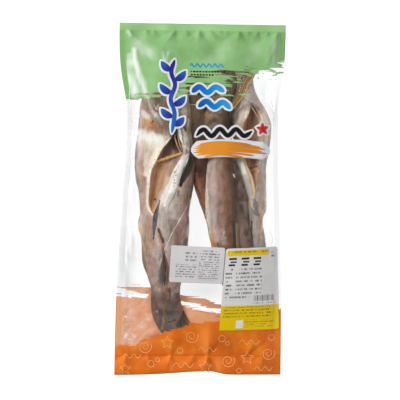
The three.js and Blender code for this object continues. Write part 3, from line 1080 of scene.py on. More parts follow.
def paint_fish(body, marks, dull, seed, lip_tint="cream"):
    """Paints a fish from pale belly to dark back, its opened belly and lips, and then its marks."""
    points = points_of(body)
    x, y = points[:, 0], points[:, 1]
    broad = cloudy(x, y, 16, 30, seed)
    narrow = cloudy(x, y, 3.5, 10, seed + 5)
    tone = np.clip(read_attribute(body, "back") + 0.14 * broad + 0.14 * narrow + dull, 0, 1)
    colours = ramp_colours(tone, SKIN_RAMP)
    depth = np.clip(read_attribute(body, "gut") + 0.12 * narrow, 0, 1)
    inside = ease(0.4, 0.6, read_attribute(body, "inside"))[:, None]
    colours += (ramp_colours(depth, GUT_RAMP) - colours) * inside
    lip = ease(0.35, 0.75, read_attribute(body, "lip"))[:, None]
    colours += (np.array(TINTS[lip_tint][:3]) - colours) * lip * 0.8
    paint_marks(body, colours, marks, seed)


def section(stations, y):
    """Middle, half width, upper and lower height of a fish at each place along it."""
    return [smooth_line([(station[0], station[k]) for station in stations])(y) for k in (1, 2, 3, 4)]


def hull_height(stations, x, y):
    """The height of a fish's upper side as if its belly were uncut."""
    middle, half, top, base = section(stations, y)
    side = np.clip((x - middle) / half, -0.99, 0.99)
    return (top + base) / 2 + (top - base) / 2 * np.sqrt(1 - side**2)


def slit_edges(slit, y, middle, half, belly):
    """The angles at which the skin ends, left and right of the belly, and how far the belly is open."""
    left, right = belly + CLEFT, belly - CLEFT
    if slit is SHUT:
        return left, right, np.zeros_like(y)
    start, end = slit["left"][0][0], slit["left"][-1][0]
    opened = ease(end - 1, end + 8, y) * ease(start + 1, start - 8, y)
    at_left, at_right = (np.arccos(np.clip((smooth_line(slit[side])(y) - middle) / half, -0.97, 0.97))
                         for side in ("left", "right"))
    share = np.minimum(opened * 3, 1)
    return left + (at_left - left) * share, right + (at_right - right) * share, opened


def belly_form(slit, across, width):
    """Over the opened belly: its share of the depth, how far the nearer edge is, and where it is lip."""
    from_left, from_right = across * width, (1 - across) * width
    left_lip, right_lip = slit["left_lip"], slit["right_lip"]
    fall = ease(left_lip * 0.7, left_lip + 5, from_left) * ease(0, 0.75, (from_right - right_lip) / width)
    on_left = ease(left_lip + 1, left_lip - 1, from_left)
    on_right = ease(right_lip + 1, right_lip - 1, from_right)
    return fall, np.minimum(from_left, from_right), np.maximum(on_left, on_right)


def fish_body(name, stations, belly_stops, slit=SHUT, rings=170, around=96, ridge=0.0):
    """A headless body lofted along Y, with its belly cut open between the edges of a slit."""
    body, turn, run = grid_piece(name, around, rings)
    neck, tail = stations[0][0], stations[-1][0]
    y = neck + (tail - neck) * run
    middle, half, top, base = section(stations, y)
    closing = 0.7 + 0.3 * np.sqrt(np.clip(np.minimum(run / 0.03, (1 - run) / 0.04), 0, 1))
    half = half * closing
    rise = (top - base) / 2 * closing
    level = (top + base) / 2
    belly = np.radians(smooth_line(belly_stops)(y))
    angle_left, angle_right, opened = slit_edges(slit, y, middle, half, belly)

    def skin_at(angle):
        swell = 1 + ridge * np.exp(-(((np.cos(angle - belly) + 1) / 0.04) ** 2))
        lift = np.where(np.sin(angle) > 0, np.sin(angle), -np.abs(np.sin(angle)) ** 0.7)
        return middle + half * np.cos(angle) * swell, level + rise * lift * swell

    outer = turn <= SKIN_SHARE
    sweep = np.minimum(turn / SKIN_SHARE, 1)
    angle = angle_right - sweep * (math.tau - (angle_left - angle_right))
    skin_x, skin_z = skin_at(angle)
    left_x, left_z = skin_at(angle_left)
    right_x, right_z = skin_at(angle_right)

    across = np.clip((turn - SKIN_SHARE) / (1 - SKIN_SHARE), 0, 1)
    width = np.maximum(right_x - left_x, 0.3)
    fall, from_edge, lip = belly_form(slit, across, width)
    depth = np.minimum(slit["depth"], width * 0.95) * opened
    gut_x = left_x + (right_x - left_x) * across
    gut_z = left_z + (right_z - left_z) * across - depth * fall - 0.6 * np.sin(math.pi * across)

    x = np.where(outer, skin_x, gut_x)
    z = np.where(outer, skin_z, gut_z)
    to_edge = np.minimum(sweep, 1 - sweep)
    at_lip = np.where(outer, to_edge * 40, from_edge / 2)
    z = np.maximum(z + 1.2 * np.exp(-(at_lip**2)) * opened, 1.0)
    put_points(body, np.column_stack([x, y, z]))

    put_attributes(body, {
        "back": (1 - np.cos(np.where(outer, angle, belly) - belly)) / 2,
        "along": y,
        "lip": np.where(outer, np.exp(-((to_edge * 70) ** 2)), lip) * opened,
        "inside": np.where(outer, 0, opened),
        "gut": np.where(outer, 0, fall * np.minimum(width / 16, 1)),
    })
    close_seams(body)
    subdivide_smooth(body, 1)
    for grain, height in BODY_LUMPS:
        relief(body, grain, height)
    return body


def ribbon(name, path, half_width, outline, rows=48, columns=8):
    """A flat ribbon along a line of (x, y) points. outline gives the share of the half width along it."""
    piece, across, along = grid_piece(name, columns, rows)
    stops = np.linspace(0, 1, len(path))
    lines = [smooth_line(list(zip(stops, [point[k] for point in path]))) for k in (0, 1)]
    step = 0.004
    low, high = np.maximum(along - step, 0), np.minimum(along + step, 1)
    dx, dy = ((line(high) - line(low)) for line in lines)
    length = np.hypot(dx, dy) + 1e-9
    reach = half_width * outline(along) * (across * 2 - 1)
    x = lines[0](along) - dy / length * reach
    y = lines[1](along) + dx / length * reach
    put_points(piece, np.column_stack([x, y, np.zeros_like(x)]))
    face_up(piece)
    return piece, across, along


def leaf_outline(along):
    return np.maximum(np.sin(math.pi * np.clip(along, 0, 1)) ** 0.7, 0.03)


def brush_outline(along):
    return np.sqrt(np.clip(np.minimum(along, 1 - along) / 0.09, 0.02, 1))


def flap_outline(along):
    return 0.6 + 0.4 * ease(0, 0.5, along) - 0.45 * ease(0.8, 1, along)


def left_flap_outline(along):
    return flap_outline(along) * np.clip(0.3 + along * 4, 0, 1)


def far_flap_outline(along):
    return flap_outline(1 - along * 0.8)


def lip_outline(along):
    wobble = 1 + 0.12 * np.sin(along * 37) + 0.08 * np.sin(along * 83)
    return np.maximum(ease(-0.04, 0.1, along) * (1 - 0.4 * ease(0.25, 0.8, along)) * wobble, 0.08)


def side_fin_outline(along):
    return np.maximum(0.65 + 0.35 * ease(0, 0.3, along) - 0.7 * ease(0.4, 1, along), 0.05)


def wedge_outline(along):
    return 0.08 + 0.92 * ease(0, 0.7, along) - 0.2 * ease(0.8, 1, along)


def back_fin_outline(along):
    return brush_outline(along) * (1 - 0.35 * along)


def far_fin_outline(along):
    return np.clip(1.25 - along**2, 0, 1)


def even_outline(along):
    return np.ones_like(along)


def laid_fin(name, path, half_width, body, film, material, outline, lift, rays, fray=0):
    """A fin folded flat against a body, with its rays as low pleats and a frayed end."""
    fin, across, along = ribbon(name, path, half_width, outline, 60, 24)
    points = points_of(fin)
    ragged = np.sin(across * 23) + 0.7 * np.sin(across * 57 + 1)
    points[:, 1] -= fray * ease(0.75, 1, along) * ragged
    put_points(fin, points)
    lay_on(fin, body, lift)
    points = points_of(fin)
    points[:, 2] += 0.4 * np.sin(across * rays * math.tau) * ease(0, 0.3, along)
    put_points(fin, points)
    keep_under(fin, film, FIN_ROOM)
    thicken(fin, FIN_THICKNESS)
    return finish_piece(fin, material)


def hull_strip(name, stations, film, material, path, half_width, tint, marks, crown, lift,
               outline=leaf_outline):
    """A flap, lip or tendon with a round upper side, laid over a fish's uncut form and painted."""
    strip, across, _ = ribbon(name, path, half_width, outline, 90, 16)
    points = points_of(strip)
    side = across * 2 - 1
    points[:, 2] = hull_height(stations, points[:, 0], points[:, 1]) + lift + crown * (1 - side**2)
    points[:, 2] += 0.2 * cloudy(points[:, 0], points[:, 1], 4, 6, 3.3)
    put_points(strip, points)
    keep_under(strip, film, STRIP_ROOM)
    thicken(strip, STRIP_THICKNESS)
    paint_marks(strip, plain_colours(strip, tint), marks, 21.0)
    return finish_piece(strip, material)


def add_strips(fish, stations, film, flesh, strips):
    """Lays the strips of a table on a fish."""
    for name, *form in strips:
        hull_strip(f"{fish}_{name}", stations, film, flesh, *form)


def fan_tail(name, edges, stations, material, tint, marks=()):
    """A tail fin between edges of (y, left x, right x), pleated along its rays and painted."""
    tail, across, along = grid_piece(name, 44, 40)
    side = across * 2 - 1
    reach = along * (1 - 0.06 * np.cos(side * math.pi) * along) + 0.015 * along * np.sin(side * 31)
    y = edges[0][0] + (edges[-1][0] - edges[0][0]) * reach
    left, right = (smooth_line([(edge[0], edge[k]) for edge in edges])(y) for k in (1, 2))
    x = left + (right - left) * across
    end = stations[-1][0]
    hull = hull_height(stations, x, y) * ease(end - 6, end + 2, y)
    on_body = hull - 1.8 + 3.4 * ease(0, 0.16, along)
    z = on_body + (4 - on_body) * ease(0.3, 0.9, along)
    z += 0.3 * np.sin(side * TAIL_FOLDS * math.pi + 0.9 * np.sin(side * 5)) * ease(0.25, 0.7, along)
    z += 0.6 * cloudy(x, y, 7, 12, 6.6) * ease(0.1, 0.4, along)
    z = np.maximum(z, hull - 2 + 3.8 * ease(0, 0.2, along))
    put_points(tail, np.column_stack([x, y, np.maximum(z, 1.8)]))
    face_up(tail)
    thicken(tail, TAIL_THICKNESS)
    subdivide_smooth(tail, 1)
    paint_marks(tail, plain_colours(tail, tint), marks, 17.0)
    return finish_piece(tail, material)


# Marks on the fish: tint, line of places, half width, strength
LEFT_MARKS = [
    ("olive", [(-42, 150), (-46, 118), (-44, 98)], 19, 0.9), ("brown", [(-70, 122), (-69, 112)], 4, 0.6),
    # Painted highlight: the white mark at x -71 to -67, y 102 to 106 is a pale band of film sheen
    ("umber", [(-56, 128), (-54, 112)], 5, 0.5), ("white", [(-71, 106), (-67, 102)], 3.6, 0.6),
    ("tan", [(-72, 95), (-64, 93.4)], 4.4, 0.85), ("rust", [(-66, 94), (-60, 92)], 2.6, 0.45),
    ("mauve", [(-58, 90), (-50, 84)], 5.4, 0.5), ("amber", [(-67, 95), (-65.4, 90)], 1.2, 0.6),
    ("amber", [(-61.4, 94), (-58.8, 91.4)], 0.9, 0.7), ("amber", [(-58.8, 94), (-62, 89)], 0.8, 0.6),
    ("umber", [(-52, 81.6), (-48.6, 82.6)], 1.8, 0.25), ("black", [(-60.3, 96.6), (-60.1, 95)], 1.2, 0.95),
    # Painted reflection: the broad white band and the brighter band above it, across y 68 to 80, are film
    # sheen painted onto the skin
    ("white", [(-76, 75), (-64, 72), (-52, 68)], 9, 0.6),
    ("glare", [(-75, 80), (-64, 76), (-52, 75)], 6, 0.55), ("rust", [(-61, 90.6), (-58, 88)], 4.4, 0.8),
    ("brown", [(-60.6, 89), (-59, 88)], 2, 0.3), ("mauve", [(-57, 86), (-55, 85.4)], 3.4, 0.4),
    ("amber", [(-64.6, 94), (-61, 88.6)], 0.9, 0.7),
    ("cream", [(-42, 76), (-50, 66), (-56, 57), (-61, 47), (-64.6, 38), (-66.8, 29)], 2.6, 0.75),
    ("beige", [(-70, 62), (-70, 40)], 8, 0.7), ("rose", [(-74, 46), (-73, 8)], 5, 0.7),
    ("white", [(-65, 56), (-68, 42), (-69, 30)], 2.8, 0.4), ("beige", [(-69, 20), (-69, -16)], 2.6, 0.3),
    ("amber", [(-74, 36), (-73, 14)], 1.8, 0.35), ("dusk", [(-70, 22), (-70, -14)], 5, 0.45),
    ("mauve", [(-75, 24), (-74, -10)], 2.6, 0.5),
    ("slate", [(-81.5, 78), (-82.5, 42), (-79.6, 14), (-76.6, -24)], 3.0, 0.8),
    ("rose", [(-62, -26), (-63, -60), (-60, -90)], 9, 0.8), ("beige", [(-72, -20), (-72, -60)], 3, 0.35),
    ("mauve", [(-66, -34), (-66, -60)], 3, 0.4), ("yellow", [(-73, -34), (-72, -42)], 2, 0.5),
    ("white", [(-40, 10), (-42, -4)], 6, 0.8), ("silver", [(-41, -8), (-43, -18)], 4, 0.5),
    ("silver", [(-29, 2), (-31, -22)], 5, 0.7), ("dusk", [(-26, 8), (-28, -16)], 4, 0.55),
    ("amber", [(-19, 25), (-23.4, 17.6), (-27.2, 10)], 1.3, 0.8),
    ("lilac", [(-40, -20), (-38, -40), (-44, -46)], 7.5, 0.85),
    ("silver", [(-53.4, -38), (-54.4, -46)], 2, 0.6), ("silver", [(-38, -56), (-38.6, -68)], 2.4, 0.7),
    ("silver", [(-36, -14), (-34, -24)], 4, 0.4), ("olive", [(-33, -28), (-33, -52)], 5.5, 0.5),
    ("umber", [(-13, 122), (-11, 96), (-10, 86)], 6, 0.5), ("umber", [(-18, 88), (-18.4, 80)], 2.4, 0.6),
    ("cream", [(-19, 74), (-20, 66)], 3, 0.5), ("dark", [(-8, 100), (-6, 72)], 3, 0.5),
    ("tan", [(-18, 98), (-14, 84)], 1.4, 0.5), ("plum", [(-9, 54), (-12, 20), (-16, 0)], 7, 0.8),
    ("dusk", [(-20, -10), (-20, -34), (-20, -56)], 6, 0.7), ("mauve", [(-27, -30), (-27, -56)], 4, 0.7),
    ("plum", [(-26, -38), (-26, -54)], 3.6, 0.5), ("rose", [(-23, 0), (-24, -20)], 3, 0.5),
    ("umber", [(-7, 44), (-11, 10), (-15, -30)], 2.2, 0.5),
    ("cream", [(-11.4, 0), (-12, -24), (-14.5, -48)], 1.6, 0.6),
    ("slate", [(-17, -48), (-18, -58)], 2, 0.6), ("rust", [(-49, -40), (-45, -54), (-43, -64)], 3, 0.7),
    ("dark", [(-50.4, -37), (-46.5, -48), (-44.8, -54)], 1.4, 0.9),
    ("dark", [(-43, -60), (-49.5, -74)], 1.5, 0.7), ("lilac", [(-52, -62), (-54, -82)], 5, 0.5),
    ("umber", [(-73, -60), (-70, -78), (-63, -99)], 3, 0.6), ("dusk", [(-41, -98), (-41, -112)], 20, 0.6),
    ("plum", [(-41, -114), (-41, -136)], 20, 0.5), ("rose", [(-30, -66), (-28, -112)], 6, 0.6),
    ("lilac", [(-50, -106), (-48, -120)], 3, 0.5), ("mauve", [(-48, -104), (-46, -128)], 4, 0.4),
    ("slate", [(-57, -108), (-57, -126)], 2.4, 0.4), ("beige", [(-53, -110), (-48, -112)], 2.4, 0.4),
    ("rust", [(-39.5, -108), (-39, -122)], 1.7, 0.8), ("dark", [(-36.5, -110), (-36, -123)], 1.8, 0.8),
    ("lilac", [(-30, -110), (-30, -122)], 5, 0.4), ("umber", [(-52, -118), (-50, -121)], 1.6, 0.5),
    ("dark", [(-31, 88), (-37, 70), (-42, 60)], 7, 0.8),
    ("dark", [(-30, 80), (-30, 66), (-26, 61)], 5.4, 0.95), ("plum", [(-44, 66), (-46, 62)], 3, 0.5),
    ("umber", [(-28, 56), (-35, 51)], 4, 0.7), ("tan", [(-56, 36), (-58, 18)], 2.6, 0.35),
    ("beige", [(-72.4, 7), (-72.2, -3)], 2.6, 0.55),
    ("amber", [(-60.5, 4), (-60, -8), (-57.5, -16)], 2.8, 0.9),
    ("tan", [(-48, 40), (-50, 18), (-54, 0)], 4, 0.6),
    ("beige", [(-38, 36), (-44, 18), (-50, 2)], 2.2, 0.5), ("dark", [(-56, 1), (-55.6, -1)], 1.2, 0.9),
    ("rose", [(-40, 46), (-46, 26), (-51, 10)], 1.6, 0.5), ("lilac", [(-34, 52), (-37, 42)], 2.4, 0.5),
    ("mauve", [(-29, 51), (-33, 41), (-37, 33)], 3.4, 0.7), ("plum", [(-28, 53), (-31, 46)], 2.2, 0.5),
    ("slate", [(-26, 10.5), (-27.6, 4.5)], 1.5, 0.85),
]
LEFT_FLAP_DOTS = [
    (-30, 36), (-29.2, 32), (-31.6, 26), (-32.2, 22), (-33.4, 17.6), (-39, 3), (-44, 0.5), (-31.4, 29.4),
]
LEFT_TAIL_MARKS = [
    ("plum", [(-41, -108), (-41, -122)], 22, 0.6), ("dusk", [(-50, -116), (-47, -130)], 4, 0.5),
    ("lilac", [(-33, -114), (-32, -124)], 3.6, 0.5),
    ("brown", [(-55, -136), (-53, -148), (-48, -162)], 3.4, 0.75),
    ("slate", [(-48.5, -136), (-47.6, -148), (-46, -164)], 2.4, 0.8),
    ("umber", [(-47, -140), (-45, -152)], 3, 0.45),
    ("tan", [(-37.7, -119), (-41, -132), (-43.4, -146), (-44, -160)], 1.8, 0.35),
    ("olive", [(-39, -130), (-40, -156)], 3, 0.5), ("ash", [(-32, -132), (-33, -148)], 7, 0.8),
    ("slate", [(-31, -136), (-33, -146)], 4, 0.4), ("brown", [(-21, -128), (-20, -138)], 4, 0.5),
    ("black", [(-36.5, -152.4), (-31, -152), (-27.2, -150.6)], 0.9, 0.8),
    ("brown", [(-14, -146), (-14, -153)], 2.4, 0.5), ("plum", [(-36, -158), (-28, -158)], 4, 0.6),
    ("rust", [(-39.5, -108), (-39, -119)], 1.5, 0.7), ("dark", [(-36.5, -108), (-36, -120)], 1.6, 0.7),
    ("yellow", [(-50.8, -141), (-50.6, -142.4)], 0.9, 0.9),
]
# The dark corner of the left tail that is folded over: tint, where it ends along X, strength
LEFT_TAIL_FOLD = [
    ("brown", -10, 0.7), ("umber", -14, 0.7), ("dark", -18, 0.75), ("dark", -22, 0.85),
     ("dark", -26.5, 0.85),
]
LEFT_TAIL_MARKS += [(tint, [(-16.8, -140.5), (x, -156)], 1.45, strength)
                    for tint, x, strength in LEFT_TAIL_FOLD]
LEFT_TAIL_EDGES = [
    (-110, -59.4, -23.5), (-125, -59.2, -22.4), (-142, -57.8, -16.2), (-154, -53.4, -9.2), (-170, -43, 1),
]
RIGHT_TAIL_EDGES = [(-126, 42, 66), (-150, 41, 72), (-172, 41, 77)]
FAR_TAIL_EDGES = [(-120, 61, 83), (-142, 62, 87), (-164, 62, 90)]
RIGHT_MARKS = [
    ("olive", [(10, 160), (16, 100), (20, 80)], 20, 0.9), ("umber", [(10, 160), (14, 110)], 12, 0.5),
    ("olive", [(36, 158), (33, 120)], 14, 0.8), ("dark", [(28, 150), (30, 90)], 7, 0.4),
    ("amber", [(7, 107), (12, 102)], 3, 0.4), ("umber", [(13, 112), (24, 108)], 4, 0.5),
    # Painted shadow: the black mark at x 34 to 35, y 90 to 116 darkens the gap between this fish and the
    # far fish
    ("dark", [(14, 98), (27, 95)], 4.4, 0.65), ("black", [(34, 116), (35, 90)], 4, 0.45),
    ("cream", [(9.4, 46), (8, 20), (8.6, -4), (11.4, -30), (14, -44)], 2.0, 0.85),
    ("pearl", [(14, 56), (16, 6), (17, -30), (20, -46)], 5.4, 0.85),
    ("mauve", [(23, 56), (27, 6), (28, -30), (30, -56)], 5.4, 0.85),
    ("brown", [(30, 56), (34.6, 6), (36.4, -30), (38, -60)], 4, 0.8),
    ("olive", [(35, 60), (38.6, 30), (40.8, 5), (41, -24)], 1.4, 0.75),
    ("umber", [(40, 58), (46, 20), (48, 0), (49, -24), (52, -60)], 6, 0.95),
    ("dark", [(42, 46), (45, 16), (46, -16), (48, -40)], 3.4, 0.8),
    ("umber", [(52, 26), (57, -4), (58, -30), (60, -60)], 5, 0.8),
    ("bark", [(54, 22), (60, -8), (63, -50)], 2.0, 0.7), ("amber", [(14.5, -45), (18, -60)], 4, 0.7),
    ("beige", [(29, -36), (33, -53)], 2.4, 0.12), ("pearl", [(22, -40), (24, -47)], 3, 0.5),
    ("rose", [(34, -80), (44, -120)], 12, 0.5), ("dark", [(48, 10), (50, -20), (54, -56)], 6, 0.3),
    ("dark", [(50, -48), (54, -62)], 7, 0.4), ("umber", [(27, 52), (34, 40)], 6, 0.45),
    # Painted highlight: the small bright mark at x 41, y 31 is a glint
    ("glare", [(41.3, 31.8), (41.4, 30.6)], 0.9, 0.9), ("umber", [(44, 0), (46, -24)], 3, 0.5),
    ("brown", [(52, -30), (55, -58)], 3.4, 0.6), ("umber", [(35, -2), (36.6, -50)], 0.9, 0.4),
]
# Painted highlights on pale scales that catch the light low on the right fish
PALE_SCALES = [
    (27.6, -37, 1.5), (30.8, -39.4, 1.1), (29.2, -42.8, 1.8), (32, -45.4, 1.2), (28, -47.2, 1.3),
    (31.4, -50, 2.2), (29.8, -53, 1.4), (33.6, -52, 1.2),
]
RIGHT_MARKS += [("white", [(x - reach, y - reach), (x + reach * 0.6, y + reach * 0.5)], 0.5, 0.45)
                for x, y, reach in PALE_SCALES]
FAR_MARKS = [
    ("olive", [(46, 164), (48, 140)], 14, 0.8), ("umber", [(42, 128), (48, 116)], 6, 0.5),
    # Painted reflection: the lilac mark at x 60 to 62, y 118 to 140 is grey film sheen over the far fish's
    # neck
    ("lilac", [(62, 140), (60, 118)], 7, 0.85), ("slate", [(73, 136), (78, 118)], 3, 0.6),
    ("beige", [(79, 112), (81, 92)], 6, 0.75), ("cream", [(76, 106), (80, 98)], 2.6, 0.7),
    ("beige", [(80, 86), (80, 60)], 6, 0.7), ("silver", [(78, 58), (77, 34)], 5, 0.8),
    ("dusk", [(74, 22), (75, -8)], 4.5, 0.6), ("white", [(82.4, 26), (82.2, 4), (81.4, -10)], 2.0, 0.75),
    ("slate", [(85, 80), (82, 50), (81.4, 30), (82.6, 6)], 1.5, 0.5),
    ("dark", [(65, 112), (66, 90)], 6.4, 0.7), ("rust", [(57, 86), (63, 88)], 1.4, 0.8),
    # Painted shadow: the black mark at x 37 to 38, y 90 to 114 darkens the gap beside the right fish
    ("black", [(38, 114), (37, 90)], 4.5, 0.6), ("rust", [(62, 64), (64, 44), (67, 28)], 9, 0.55),
    ("brown", [(60, 60), (65, 46)], 2.6, 0.5), ("umber", [(68, 60), (68, 44)], 2, 0.5),
    ("black", [(60, 41), (64, 42)], 0.8, 0.9), ("black", [(66, 43), (71, 42)], 0.8, 0.9),
    ("black", [(62, 35), (68, 36)], 0.7, 0.8), ("dusk", [(66, -14), (70, -56)], 7.5, 0.5),
    # Painted shadow: the black line at x 64 to 66, y -26 to -56 darkens the gap against the right fish
    ("lilac", [(66, -18), (70, -56)], 7, 0.6), ("black", [(64, -26), (66, -56)], 1.4, 0.85),
    ("yellow", [(78.2, -29), (78, -38)], 1.5, 0.9), ("yellow", [(76.8, -42), (76.4, -52)], 0.9, 0.7),
    ("stone", [(81.4, -38), (80.6, -57)], 3.0, 0.8), ("rose", [(74, -16), (76, -26)], 2, 0.5),
    ("dark", [(60, -48), (65, -62)], 5, 0.45), ("stone", [(70, -48), (72, -62)], 6, 0.45),
]
UNDER_MARKS = [
    ("liver", [(0, 150), (0, 60), (8, 10), (20, -20)], 30, 1.0), ("olive", [(0, 150), (0, 94)], 16, 0.75),
    ("bark", [(-4, 40), (-1, 26)], 3, 0.4), ("brown", [(1, 26), (6.4, 6)], 3, 0.5),
    ("rust", [(-5.8, 30), (-1.8, 19), (2, 8), (5, -3), (8, -16)], 2.8, 0.8),
    ("dusk", [(-7.6, 20), (-4.8, 9), (-1, -3), (4, -17)], 2.2, 0.7),
    ("lilac", [(6, 12), (8.4, 6)], 1.0, 0.6),
]
# Lines and marks of the left fish's strips
LEFT_FLAP_LINE = [
    (-14.5, 57.5), (-18, 51.5), (-21.6, 46), (-27.3, 35), (-30.6, 27), (-33.4, 17), (-38.4, 3), (-42, -9),
]
LEFT_FLAP_MARKS = [
    ("silver", [(-19, 44), (-24, 31), (-26.4, 20), (-31, 6), (-35, -6)], 3.4, 0.75),
    ("beige", [(-27, 43), (-36, 25), (-43, 3)], 1.4, 0.5),
    ("dusk", [(-28, 12), (-32.6, 3), (-35, -6)], 1.8, 0.5), ("pearl", [(-14.5, 57.5), (-19, 51)], 4, 0.6),
    ("silver", [(-36, 6), (-40, -7)], 3.4, 0.7),
]
LEFT_FLAP_MARKS += [("amber", [(x, y), (x - 0.3, y - 0.8)], 0.9, 0.8) for x, y in LEFT_FLAP_DOTS]
LEFT_LIP_LINE = [
    (-37, 77), (-45.6, 67.5), (-51.8, 58.5), (-56.2, 48.8), (-60.4, 39.8), (-63, 31), (-63.6, 20),
    (-64.6, 7), (-64.6, -7), (-58, -20),
]
LEFT_LIP_MARKS = [("tan", [(x + 2.4, y - 1.2) for x, y in LEFT_LIP_LINE[:6]], 0.6, 0.5)]
LEFT_LIP_MARKS += [("rust", [(x - 0.5, y), (x - 0.3, y - 0.9)], 0.6, 0.7) for x, y in LEFT_LIP_LINE[2:7]]
LEFT_SHOULDER_MARKS = [
    ("dark", [(-27, 92), (-23, 78), (-19, 64)], 1.1, 0.8), ("amber", [(-21, 82), (-17, 70)], 2, 0.4),
    ("umber", [(-31, 88), (-27, 76)], 1.2, 0.6),
]
# Strips on a fish: name, line of places, half width, tint, marks, crown, lift, outline if not a leaf's
LEFT_STRIPS = [
    ("flap", LEFT_FLAP_LINE, 6.0, "glare", LEFT_FLAP_MARKS, 1.2, 0.6, left_flap_outline),
    ("lip", LEFT_LIP_LINE, 2.1, "cream", LEFT_LIP_MARKS, 0.8, 0.2, lip_outline),
    ("shoulder_flap", [(-28, 95), (-24, 83), (-19.4, 73), (-14, 61)], 5.4, "white", LEFT_SHOULDER_MARKS,
     1.0, 0.3),
    ("strand_1", [(-33, 81), (-30.5, 71), (-25.4, 59)], 0.8, "tan", (), 0.4, -1.5),
    ("strand_2", [(-29, 82), (-26.5, 70), (-22.5, 58)], 0.8, "tan", (), 0.4, -1.5),
]
# Lines of the left fish's fins
LEFT_SIDE_FIN = [(-9.6, 59), (-12.2, 49.5), (-17, 36), (-21.6, 26), (-24.4, 18)]
LEFT_FRONT_FIN_MARKS = [
    ("black", [(-53.6, -13), (-56, -27)], 1.6, 0.8), ("lilac", [(-53.4, -17), (-54.8, -24)], 0.6, 0.3),
    ("stone", [(-49.5, -1), (-52.4, -10)], 1.2, 0.7),
]
LEFT_FIN_STRIPS = [
    ("front_anal_fin", [(-49.5, -1), (-53, -13), (-55.2, -23), (-56, -33), (-57, -49)], 2.7, "slate",
     LEFT_FRONT_FIN_MARKS, 0.7, 0.7),
]
LEFT_REAR_FIN = [(-44.5, -61), (-43, -76), (-43, -90), (-43.5, -104)]
# The far right fish's strips and their marks, listed in the same way
FAR_FLAP_MARKS = [
    ("white", [(44, 60), (49, 47), (54, 36)], 3.6, 0.85), ("lilac", [(58, 24), (63, 8)], 3.4, 0.5),
    ("amber", [(52, 52), (58, 36)], 0.7, 0.5),
]
FAR_LIP_MARKS = [("tan", [(55, 46), (62, 24)], 0.7, 0.5)]
FAR_UPPER_MARKS = [
    ("beige", [(57, 114), (52, 104), (47, 94)], 5, 0.8), ("cream", [(56, 110), (54, 104)], 2, 0.6),
    # Painted shadow: the umber line along the flap's left edge darkens the gap beside the right fish
    ("olive", [(50, 96), (44, 86)], 3, 0.25), ("umber", [(48, 116), (41, 100), (36, 86)], 3.2, 0.75),
    ("ash", [(60, 121), (52, 115)], 4, 0.6),
]
FAR_FIN_MARKS = [("slate", [(67.6, -2), (69, -10)], 1.6, 0.6), ("lilac", [(65, -8), (67, -13)], 1.4, 0.25)]
FAR_STRIPS = [
    ("flap", [(43, 66), (46.4, 56), (50.4, 44), (55.4, 29), (60, 16), (65, 3)], 5.6, "silver",
     FAR_FLAP_MARKS, 1.6, 1.4, far_flap_outline),
    ("left_lip", [(54, 50), (60, 36), (64.6, 23), (66.8, 10), (64.8, 2)], 1.7, "yellow", FAR_LIP_MARKS, 0.8,
     2.4),
    ("drop", [(62.2, 2.4), (63.6, -3), (66.8, -11)], 1.5, "yellow", (), 0.6, 1.6),
    ("right_lip", [(73.4, 62), (72.4, 46), (71, 32), (69.8, 21), (68.4, 10), (67.6, 0)], 1.1, "yellow", (),
     0.6, 0.4),
    ("upper_flap", [(60, 122), (54.5, 112), (49, 103), (44, 93), (40, 83)], 7, "silver", FAR_UPPER_MARKS,
     1.4, 0.4),
    ("tendon_1", [(57, 121), (62, 116), (66, 110), (70, 104)], 0.8, "tan", (), 0.4, -1.0),
    ("tendon_2", [(63, 124), (68, 116), (72, 108), (73, 101)], 0.8, "tan", (), 0.4, -1.0),
    ("tendon_3", [(56, 85), (62, 88), (68, 92), (72, 96)], 0.8, "tan", (), 0.4, -1.0),
    ("anal_fin", [(67.6, 3), (68.6, -5), (67.8, -11), (70.2, -15), (73.8, -18.8)], 3.6, "stone",
     FAR_FIN_MARKS, 0.6, 0.9),
]
# Lines of the other fins
FAR_SIDE_FIN = [(60.4, 160), (57, 153), (52.4, 146), (49.4, 138), (45.6, 129), (40.2, 120), (36, 112)]
RIGHT_BACK_FIN = [(44.2, -27), (44.9, -36), (45.8, -48), (47.4, -64)]
# Colours across the fins
LEFT_SIDE_BANDS = [(0.0, srgb(62, 60, 50)), (0.5, srgb(38, 40, 33)), (1.0, srgb(70, 62, 54))]
LEFT_REAR_BANDS = [
    (0.0, srgb(104, 104, 102)), (0.2, srgb(84, 86, 84)), (0.4, srgb(84, 72, 60)), (0.6, srgb(58, 52, 47)),
    (0.78, srgb(112, 84, 74)), (1.0, srgb(142, 112, 100)),
]
RIGHT_BACK_BANDS = [
    (0.0, srgb(54, 48, 42)), (0.34, srgb(58, 52, 45)), (0.5, srgb(130, 112, 82)), (1.0, srgb(110, 90, 66)),
]
FAR_SIDE_BANDS = [
    (0.0, srgb(84, 68, 58)), (0.25, srgb(108, 84, 64)), (0.5, srgb(146, 108, 66)),
    (0.75, srgb(132, 97, 62)), (0.9, srgb(182, 152, 104)), (1.0, srgb(160, 134, 100)),
]


def dress_body(body, film, marks, skin, dull, seed, chevrons, gloss, lip_tint="cream"):
    """Keeps a fish's body under the film, paints it and gives it its skin."""
    keep_under(body, film)
    paint_fish(body, marks, dull, seed, lip_tint)
    return finish_piece(body, fish_material(skin, chevrons, seed, gloss))


def make_left_fish(film):
    body = fish_body("fish_left", LEFT_BODY, LEFT_BELLY, LEFT_SLIT)
    dress_body(body, film, LEFT_MARKS, "left_fish_skin", dull=0.06, seed=2.0, chevrons=0.06, gloss=0.25)
    flesh = flesh_material("left_belly_flesh")
    add_strips("fish_left", LEFT_BODY, film, flesh, LEFT_STRIPS)
    make_left_fins(body, film, flesh)
    tail_fin = tail_material("left_tail_fin")
    fan_tail("fish_left_tail", LEFT_TAIL_EDGES, LEFT_BODY, tail_fin, "ash", LEFT_TAIL_MARKS)


